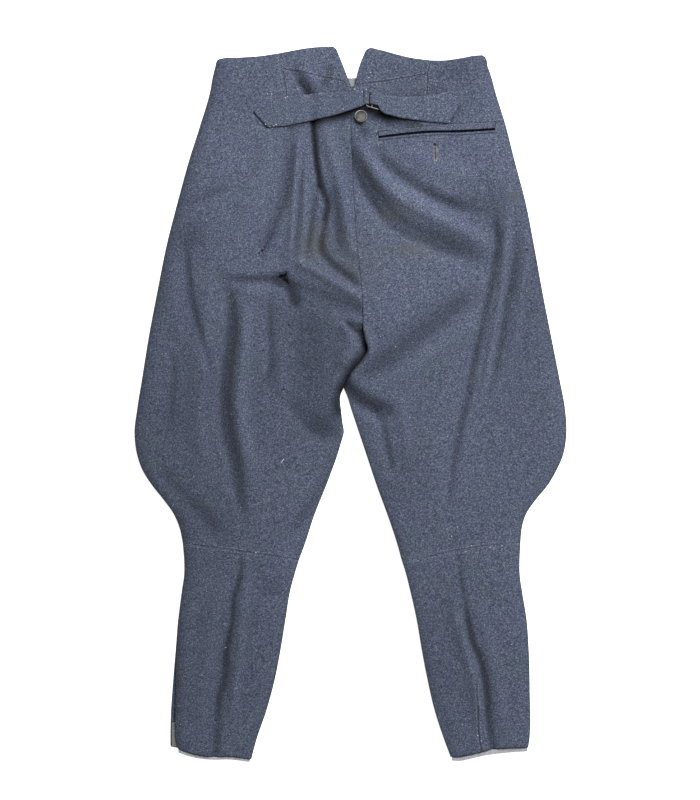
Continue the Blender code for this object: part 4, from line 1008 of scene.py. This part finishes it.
def tape_height(points, side):
    """Follows the underside of the back's hem. The part that hangs out below it curls up a little."""
    line = smooth(HEM[side], 4)
    apart = np.hypot(*(line[:, None] - line).T)
    lowest = np.where(apart < HEM_REACH, relief(line, side), np.inf).min(axis=1)
    near = apart < HEM_REACH / 3
    even = (near * lowest).sum(axis=1) / near.sum(axis=1)
    closest = np.hypot(*(points[:, None] - line).T).argmin(axis=0)
    under_hem = np.maximum(even[closest] - CLOTH - TAPE_CLEAR, CLOTH + LAYER_GAP + LINING)
    fine = smooth(HEM[side], 1.5)
    gaps = np.hypot(*(points[:, None] - fine).T)
    out = np.where(points[:, 1] < fine[gaps.argmin(axis=0), 1], gaps.min(axis=0), 0)
    return under_hem + TAPE_CURL * step_up((out - 0.3) / 2.0)


def front_legs():
    waist = smooth(FRONT_WAIST)
    middle = abs(waist[:, 0] - FRONT_WAIST[3][0]).argmin()
    waists = {"left": waist[middle::-1], "right": waist[middle:]}
    outsides = {
        "left": side_places(THIGH_OUTSIDE, "left")[1:-1] + FRONT_VENT,
        "right": side_places(THIGH_OUTSIDE, "right")[1:] + side_places(CALF_OUTSIDE, "right")[1:],
    }
    hems = {"left": [FRONT_HEM_CORNER] + shifted(HEM["left"][1:], -FRONT_SHORTER)}
    hems["right"] = shifted(HEM["right"], -FRONT_SHORTER)
    return [
        flat_piece(
            WOOLLEN, f"front_leg_{side}", 0,
            smooth(CENTRE_FRONT)[::-1], waists[side], smooth(outsides[side]), smooth(hems[side]),
            smooth(side_places(INSEAM, side) + side_places(CALF_INSIDE, side)[1:])[::-1],
        )
        for side in SIDES
    ]


def inner_layers():
    """The grey pieces between front and back that show at the notch, the hems and the vent."""
    low = CLOTH + LAYER_GAP
    (first, _), *middle, (last, _) = FRONT_WAIST
    upper = [(first + LINING_SIDE, LINING_END), *middle, (last - LINING_SIDE, LINING_END)]
    lining = flat_piece(
        TWILL, "waist_lining", low, smooth(shifted(upper, 1)), smooth(shifted(upper, LINING_DEPTH))[::-1]
    )
    tapes = [
        cloth_piece(
            TAPE_COTTON, f"hem_tape_{side}",
            (smooth(TAPE[side]), smooth(shifted(TAPE[side], -TAPE_COVERED))[::-1]),
            lambda points: tape_height(points, side), pitch=2.5, lines=[smooth(HEM[side], 1.5)],
        )
        for side in SIDES
    ]
    edges = [smooth(pair) for pair in zip(FACING, FACING[1:] + FACING[:1])]
    return [lining, *tapes, flat_piece(FACING_COTTON, "vent_facing_left", low, *edges, pitch=2.5)]


def back():
    """The back pieces. Those that carry the half-belt and the button come first."""
    centre = np.vstack([smooth(NOTCH_FOOT + CENTRE_BACK), smooth(CROTCH_LAP)[1:]])
    mouth = inset(loop_of(smooth(MOUTH_TOP), smooth(MOUTH_BOTTOM)[::-1]), -SEAM_GAP / 2)
    holes = {"left": to_points(TEAR), "right": mouth}
    thighs = [
        back_panel(
            f"back_thigh_{side}", side,
            smooth(YOKE_SEAM[side])[::-1], smooth(YOKE_END[side])[::-1], smooth(WAIST[side]),
            smooth(side_places(THIGH_OUTSIDE, side)), smooth(KNEE[side]),
            smooth(side_places(INSEAM, side))[::-1], centre[::-1], hole=holes[side],
        )
        for side in SIDES
    ]
    yoke_edges = (NOTCH, YOKE_TOP, YOKE_END, YOKE_SEAM)
    yokes = [back_panel(f"yoke_{side}", side, *[smooth(edge[side]) for edge in yoke_edges]) for side in SIDES]
    calves = [
        back_panel(
            f"back_calf_{side}", side, smooth(KNEE[side]), smooth(side_places(CALF_INSIDE, side)),
            smooth(HEM[side])[::-1], smooth(side_places(CALF_OUTSIDE, side))[::-1],
        )
        for side in SIDES
    ]
    return thighs + yokes + calves


def jet(node, upper, lower):
    """One lip of the pocket, level with the panel around it and slightly raised."""
    curves = (smooth(upper), smooth(lower)[::-1])
    return cloth_piece(
        WOOLLEN, node, curves, lambda points: relief(points, "right") + JET_RAISED, "right", pitch=1.6
    )


class Ground:
    """The upper faces of some pieces, for what lies on them."""

    def __init__(self, pieces):
        corners, polygons = [], []
        for piece in pieces:
            start = len(corners)
            corners += [corner.co / MM for corner in piece.data.vertices]
            polygons += [[start + corner for corner in polygon.vertices] for polygon in piece.data.polygons]
        self.tree = BVHTree.FromPolygons(corners, polygons)

    def hit(self, x, y):
        return self.tree.ray_cast(Vector((x, y, 100)), Vector((0, 0, -1)))[0]

    def height(self, x, y, spread=0.0):
        """The highest point of the cloth within a circle round a place."""
        around = [place for share in (0.5, 1) for place in ring((x, y), share * spread, 8)] if spread else []
        hits = [self.hit(*place) for place in [(x, y)] + around]
        return max((hit.z for hit in hits if hit is not None), default=BASE)

    def covers(self, x, y):
        """Whether a place and its surroundings are on the cloth."""
        return all(self.hit(x + dx, y + dy) for dx, dy in ((0, 0), (4, 0), (-4, 0), (0, 4), (0, -4)))


# --- half-belt, buckle and button


def strap_places(stations):
    """Where a strap's sections are: at its stations, and evenly between them, closer near its ends."""
    places = [stations[0].across]
    for row, (first, second) in enumerate(zip(stations, stations[1:])):
        near_end = row in (0, 1, len(stations) - 3, len(stations) - 2)
        count = ceil(abs(second.across - first.across) / (1.0 if near_end else 3.0))
        places += list(np.linspace(first.across, second.across, count + 1)[1:])
    return places


def grid_shell(name, outer, inner, material):
    """A closed mesh between two grids of points, each given as a list of rows."""
    rows, columns = len(outer), len(outer[0])
    half = rows * columns
    numbers = np.arange(half).reshape(rows, columns)
    faces = numbers[:-1, :-1].reshape(-1, 1) + (0, columns, columns + 1, 1)
    rim = np.concatenate([numbers[0], numbers[1:, -1], numbers[-1, -2::-1], numbers[-2:0:-1, 0]]).tolist()
    sides = [(a + half, b + half, b, a) for a, b in zip(rim, rim[1:] + rim[:1])]
    polygons = faces[:, ::-1].tolist() + (faces + half).tolist() + sides
    made = thing_of(name, np.vstack([*outer, *inner]), polygons, material)
    face_outward(made)
    return made


def strap(node, stations, turned, bar_height, ground):
    """A strap of the half-belt: a pointed end sewn on the cloth, the other end turned round a bar."""
    across, tops, bottoms = np.array(sorted(stations)).T
    bar = turned.across
    hand = 1 if bar > stations[0].across else -1
    inner_turn = WIRE + WIRE_CLEAR
    outer_turn = inner_turn + BELT
    outer, inner = [], []

    def add_section(top, bottom, x_out, z_out, x_in, z_in, axis=(0, 1)):
        """One section across the strap. Its long edges are rounded along the axis, as (x, z)."""
        y = LENGTH / 2 - (top + (bottom - top) * STRAP_SHARES)
        drop = rolled(np.minimum(STRAP_SHARES, 1 - STRAP_SHARES) * (bottom - top), BELT / 2 - EDGE_FLAT)
        outer.append(np.column_stack([x_out - drop * axis[0], y, z_out - drop * axis[1]]))
        inner.append(np.column_stack([x_in + drop * axis[0], y, z_in + drop * axis[1]]))

    places = strap_places(stations)
    spans = [(np.interp(place, across, tops), np.interp(place, across, bottoms)) for place in places]
    lows = np.array([
        [ground.height(place, LENGTH / 2 - down, 4.0) for down in top + (bottom - top) * STRAP_SHARES]
        for place, (top, bottom) in zip(places, spans)
    ])
    for _ in range(3):
        lows[1:-1] = np.maximum(lows[1:-1], 0.25 * (lows[:-2] + lows[2:]) + 0.5 * lows[1:-1])
    sewn_at, sewn_wide, sewn_deep = SEWN_DOWN.get(node, (0, 1, 0))
    for place, (top, bottom), low in zip(places, spans, lows + STRAP_CLEAR):
        lift = 1 - step_up((abs(bar - place) - LIFT_FLAT) / LIFT_RUN)
        low = low + (bar_height + inner_turn - low) * lift - sewn_deep * bell(place - sewn_at, sewn_wide)
        add_section(top, bottom, place, low + BELT, place, low)
    for angle in pi * np.arange(1, TURN_STEPS + 1) / TURN_STEPS:
        x, z = hand * sin(angle), cos(angle)
        add_section(
            turned.top, turned.bottom, bar + x * outer_turn, bar_height + z * outer_turn,
            bar + x * inner_turn, bar_height + z * inner_turn, (x, z),
        )
    end = bar - hand * TAIL
    below = (end, bar_height - outer_turn, end, bar_height - inner_turn)
    add_section(turned.top, turned.bottom, *below, (0, -1))
    belt = grid_shell("wool_" + node, outer, inner, WOOL)
    flat = np.vstack(outer + inner)[:, :2]
    upper = straight([(station.across, station.top) for station in stations])
    lower = straight([(station.across, station.bottom) for station in stations])
    # Painted shade along the strap's lower edge and its pointed end, and a painted highlight along its upper
    # edge.
    tone = 1 - 0.4 * bell(away_from(flat, lower), 1.2)
    tone *= 1 - 0.5 * bell(away_from(flat, np.array([upper[0], lower[0]])), 1.3)
    tone *= 1 + 0.10 * bell(away_from(flat, upper), 1.6)
    paint(belt, tone=with_painted_shading(tone, flat, node), soil=np.zeros(len(flat)))
    return declared(belt, node)


def face_outward(thing):
    shape = bmesh.new()
    shape.from_mesh(thing.data)
    bmesh.ops.recalc_face_normals(shape, faces=shape.faces)
    shape.to_mesh(thing.data)
    shape.free()


def wire(name, places, height, closed, node=None):
    """Bent wire through corners. Those of a closed wire are rounded."""
    points = [Vector((*point, height)) * MM for point in to_points(places)]
    path = []
    for row, corner in enumerate(points):
        around = [points[row - 1], points[(row + 1) % len(points)]] if closed else [corner, corner]
        before, after = ((point - corner).normalized() * CORNER_ROUND * MM for point in around)
        shares = np.linspace(0, 1, 9) if closed else [0]
        path += [corner + before * (1 - t) ** 2 + after * t**2 for t in shares]
    curve = bpy.data.curves.new(name, "CURVE")
    curve.dimensions = "3D"
    curve.bevel_depth = THIN_WIRE * MM
    curve.bevel_resolution = 5
    curve.use_fill_caps = not closed
    spline = curve.splines.new("POLY")
    spline.points.add(len(path) - 1)
    for point, place in zip(spline.points, path):
        point.co = (*place, 1.0)
    spline.use_cyclic_u = closed
    drawn = linked(name, curve)
    mesh = bpy.data.meshes.new_from_object(drawn.evaluated_get(bpy.context.evaluated_depsgraph_get()))
    bpy.data.objects.remove(drawn)
    mesh.materials.clear()
    mesh.materials.append(WIRE_METAL)
    mesh.shade_smooth()
    made = linked(name, mesh)
    face_outward(made)
    return declared(made, node)


def buckle(height):
    outer = wire("wire_frame", BUCKLE_CORNERS, height, True, "buckle")
    downs = np.array([LENGTH / 2 - corner.co.y / MM for corner in outer.data.vertices])
    # The top rail, in the shade between the straps, gets painted shade.
    paint(outer, worn=np.zeros(len(downs)), stained=np.where(downs < BUCKLE_SHADED_TO, 0.85, 0))
    wire("wire_middle_bar", MIDDLE_BAR, height, False)


def button(ground):
    """A dished metal button on a short shank, leaning towards the leg."""
    shape = bmesh.new()
    corners = [shape.verts.new((radius * MM, 0, height * MM)) for radius, height in FINE_BUTTON]
    for pair in zip(corners, corners[1:]):
        shape.edges.new(pair)
    bmesh.ops.spin(
        shape, geom=shape.verts[:] + shape.edges[:], axis=(0, 0, 1), cent=(0, 0, 0),
        steps=72, angle=2 * pi, use_merge=True,
    )
    bmesh.ops.remove_doubles(shape, verts=shape.verts, dist=0.02 * MM)
    bmesh.ops.holes_fill(shape, edges=shape.edges)
    bmesh.ops.recalc_face_normals(shape, faces=shape.faces)
    x, y = to_points([BUTTON_PLACE])[0]
    foot = Vector((x, y, ground.height(x, y, 3.0) + BUTTON_CLEAR)) * MM
    turn = Euler((-BUTTON_TILT, 0, 0)).to_matrix().to_4x4()
    bmesh.ops.transform(shape, matrix=Matrix.Translation(foot) @ turn, verts=shape.verts)
    mesh = bpy.data.meshes.new("zinc_button")
    shape.to_mesh(mesh)
    shape.free()
    mesh.materials.append(BUTTON_METAL)
    mesh.shade_smooth()
    mesh.set_sharp_from_angle(angle=radians(40))
    thing = linked("zinc_button", mesh)
    places = np.array([(corner.co.x / MM - x, corner.co.y / MM - y) for corner in mesh.vertices])
    away = np.hypot(*places.T)
    lit = places @ BUTTON_LIT_SIDE / np.maximum(away, 1)
    *middle, clean = BUTTON_DISH
    hollow = step_up((np.hypot(*(places - middle).T) - clean) / 1.4)
    hollow *= step_up((BUTTON_WORN_FROM + 0.1 - away) / 0.6)
    # A pale worn rim with a painted highlight on its lit side, and a painted shadow of the strap in the upper
    # left of its dish.
    paint(
        thing,
        worn=0.9 * step_up((away - BUTTON_WORN_FROM) / 0.6) * (0.25 + 0.75 * step_up(0.5 + lit)),
        stained=hollow * step_up(places @ (-0.7, 0.7) / 2),
    )
    return declared(thing, "button")


# --- threads


class Threads:
    """Many short pieces of one thread, as one mesh of thin arched tubes."""

    def __init__(self, material):
        self.material, self.corners, self.polygons = material, [], []

    def tube(self, path, radius, sides=6):
        path = np.asarray(path, dtype=float)
        ahead = np.gradient(path, axis=0)
        ahead /= np.linalg.norm(ahead, axis=1)[:, None]
        side = np.cross(ahead, (0, 0, 1))
        side /= np.linalg.norm(side, axis=1)[:, None]
        above = np.cross(side, ahead)
        start = len(self.corners)
        for row, (place, right, up) in enumerate(zip(path, side, above)):
            thin = 0.6 if row in (0, len(path) - 1) else 1.0
            for dx, dy in ring((0, 0), radius * thin, sides):
                self.corners.append(place + dx * right + dy * up)
        for row in range(len(path) - 1):
            for turn in range(sides):
                a, b = start + row * sides + turn, start + row * sides + (turn + 1) % sides
                self.polygons.append((a, b, b + sides, a + sides))
        self.polygons.append(tuple(range(start, start + sides))[::-1])
        self.polygons.append(tuple(range(len(self.corners) - sides, len(self.corners))))

    def stitch(self, ground, first, second, radius, sunk=0.5):
        """One stitch from place to place, which dives into the cloth at both ends."""
        path = []
        for share, rise in ((0, -sunk), (0.15, 0.12), (0.5, 0.22), (0.85, 0.12), (1, -sunk)):
            x, y = np.asarray(first) + share * (np.asarray(second) - first)
            path.append((x, y, ground.height(x, y) + rise))
        self.tube(path, radius)

    def hair(self, ground, x, y, turn, size, radius, sunk):
        """A short straight thread on both sides of a place."""
        dx, dy = size * cos(turn), size * sin(turn)
        self.stitch(ground, (x - dx, y - dy), (x + dx, y + dy), radius, sunk)

    def row(self, ground, line, length, gap, radius, chance):
        """Stitches along a line of points. A few are worn away."""
        ends = np.concatenate([[0], np.cumsum(np.linalg.norm(np.diff(line, axis=0), axis=1))])
        place = 0.0
        while place < ends[-1] - 0.5 * length:
            reach = min(place + length * chance.uniform(0.8, 1.15), ends[-1])
            points = [[np.interp(at, ends, values) for values in line.T] for at in (place, reach)]
            points = [(x + chance.uniform(-0.2, 0.2), y + chance.uniform(-0.2, 0.2)) for x, y in points]
            if chance.random() > 0.08:
                self.stitch(ground, *points, radius * chance.uniform(0.85, 1.1))
            place = reach + gap * chance.uniform(0.7, 1.3)

    def made(self, name):
        return declared(thing_of(name, self.corners, self.polygons, self.material))


def sewing(ground):
    """The stitches that show, the buttonhole, knots of thread and lint."""
    chance = random.Random(4)
    materials = {"pale": THREAD, "soft": THREAD, "white": LINT, "beige": BEIGE_THREAD, "dark": DARK_THREAD}
    kinds = {kind: Threads(material) for kind, material in materials.items()}
    for word, (length, gap), path in rows_in(STITCH_ROWS):
        thread = word.split(":")[1]
        kinds[thread].row(ground, smooth(path, 2.0), length, gap, THREAD_RADIUS[thread], chance)
    buttonhole(ground, kinds["beige"], chance)
    for x, y in to_points(KNOTS):
        for turn in (chance.uniform(0, pi), chance.uniform(0, pi)):
            kinds["white"].hair(ground, x, y, turn, 0.7, 0.42, 0.2)
    for _ in range(LINT_COUNT):
        x, y = chance.uniform(*LINT_AREA[:2]), chance.uniform(*LINT_AREA[2:])
        turn = chance.uniform(0, 2 * pi)
        size = chance.uniform(0.4, 1.1)
        if ground.covers(x, y):
            kinds["white"].hair(ground, x, y, turn, size, chance.uniform(0.14, 0.26), 0.0)
    for kind, threads in kinds.items():
        threads.made(f"{kind}_thread")


def buttonhole(ground, threads, chance):
    """Overcast stitches down both sides of a keyhole slit, round its eyelet and across its end."""
    start, end = to_points(BUTTONHOLE)
    for x, y in np.linspace(start, end, 24):
        for sign in (-1, 1):
            wide = chance.uniform(1.9, 2.5)
            tip = (x + sign * (0.7 + wide), y + chance.uniform(-0.2, 0.2))
            threads.stitch(ground, (x + sign * 0.7, y), tip, 0.34)
    x, y = to_points([EYELET])[0]
    for turn in np.linspace(0.05 * pi, 0.95 * pi, 9):
        dx, dy = cos(turn), sin(turn)
        threads.stitch(ground, (x + 1.7 * dx, y + 3.0 * dy), (x + 3.3 * dx, y + 5.0 * dy), 0.3)
    for step in range(3):
        y = end[1] - 0.6 - 0.7 * step
        threads.stitch(ground, (end[0] - 3.0, y), (end[0] + 3.0, y), 0.42)


# --- stage


def look_down():
    """The camera, straight above the garment."""
    data = bpy.data.cameras.new("camera")
    data.lens = 85
    data.sensor_fit = "HORIZONTAL"
    data.sensor_width = 36
    data.clip_end = 20
    camera = linked("camera", data)
    camera.location = (*FRAME_MIDDLE, FRAME_FOCUS + FRAME_WIDTH * data.lens / data.sensor_width)
    bpy.context.scene.camera = camera


def studio():
    """A pale floor, a white surround and one large soft lamp."""
    far, low = 6000, -0.6
    corners = [(-far, -far, low), (far, -far, low), (far, far, low), (-far, far, low)]
    thing_of("paper_floor", corners, [(0, 1, 2, 3)], floor_material())
    world = bpy.data.worlds.new("studio")
    world.use_nodes = True
    world.node_tree.nodes["Background"].inputs["Color"].default_value = (1, 1, 1, 1)
    world.node_tree.nodes["Background"].inputs["Strength"].default_value = 0.30
    data = bpy.data.lights.new("key", "AREA")
    data.shape = "RECTANGLE"
    data.size = data.size_y = 1.7
    data.energy = 190
    lamp = linked("key", data)
    lamp.location = (1.1, 1.65, 2.45)
    lamp.rotation_euler = (-lamp.location).to_track_quat("-Z", "Y").to_euler()
    scene = bpy.context.scene
    scene.world = world
    scene.view_settings.view_transform = "Standard"
    scene.view_settings.look = "None"


def main():
    look_down()
    studio()
    fronts = front_legs()
    inner = inner_layers()
    pieces = back()
    ground = Ground(pieces[:4])
    jets = [jet("pocket_jet_upper", MOUTH_TOP, SLIT_TOP), jet("pocket_jet_lower", SLIT_BOTTOM, MOUTH_BOTTOM)]
    x, y = to_points(BUCKLE_CORNERS).mean(axis=0)
    bar_height = ground.height(x, y, 18.0) + STRAP_CLEAR + BELT + WIRE + WIRE_CLEAR
    straps = [
        strap("half_belt_left", STRAP_LEFT, TURN_LEFT, bar_height, ground),
        strap("half_belt_right", STRAP_RIGHT, TURN_RIGHT, bar_height, ground),
    ]
    buckle(bar_height)
    button(ground)
    sewing(Ground(fronts + inner + pieces + jets + straps))


main()
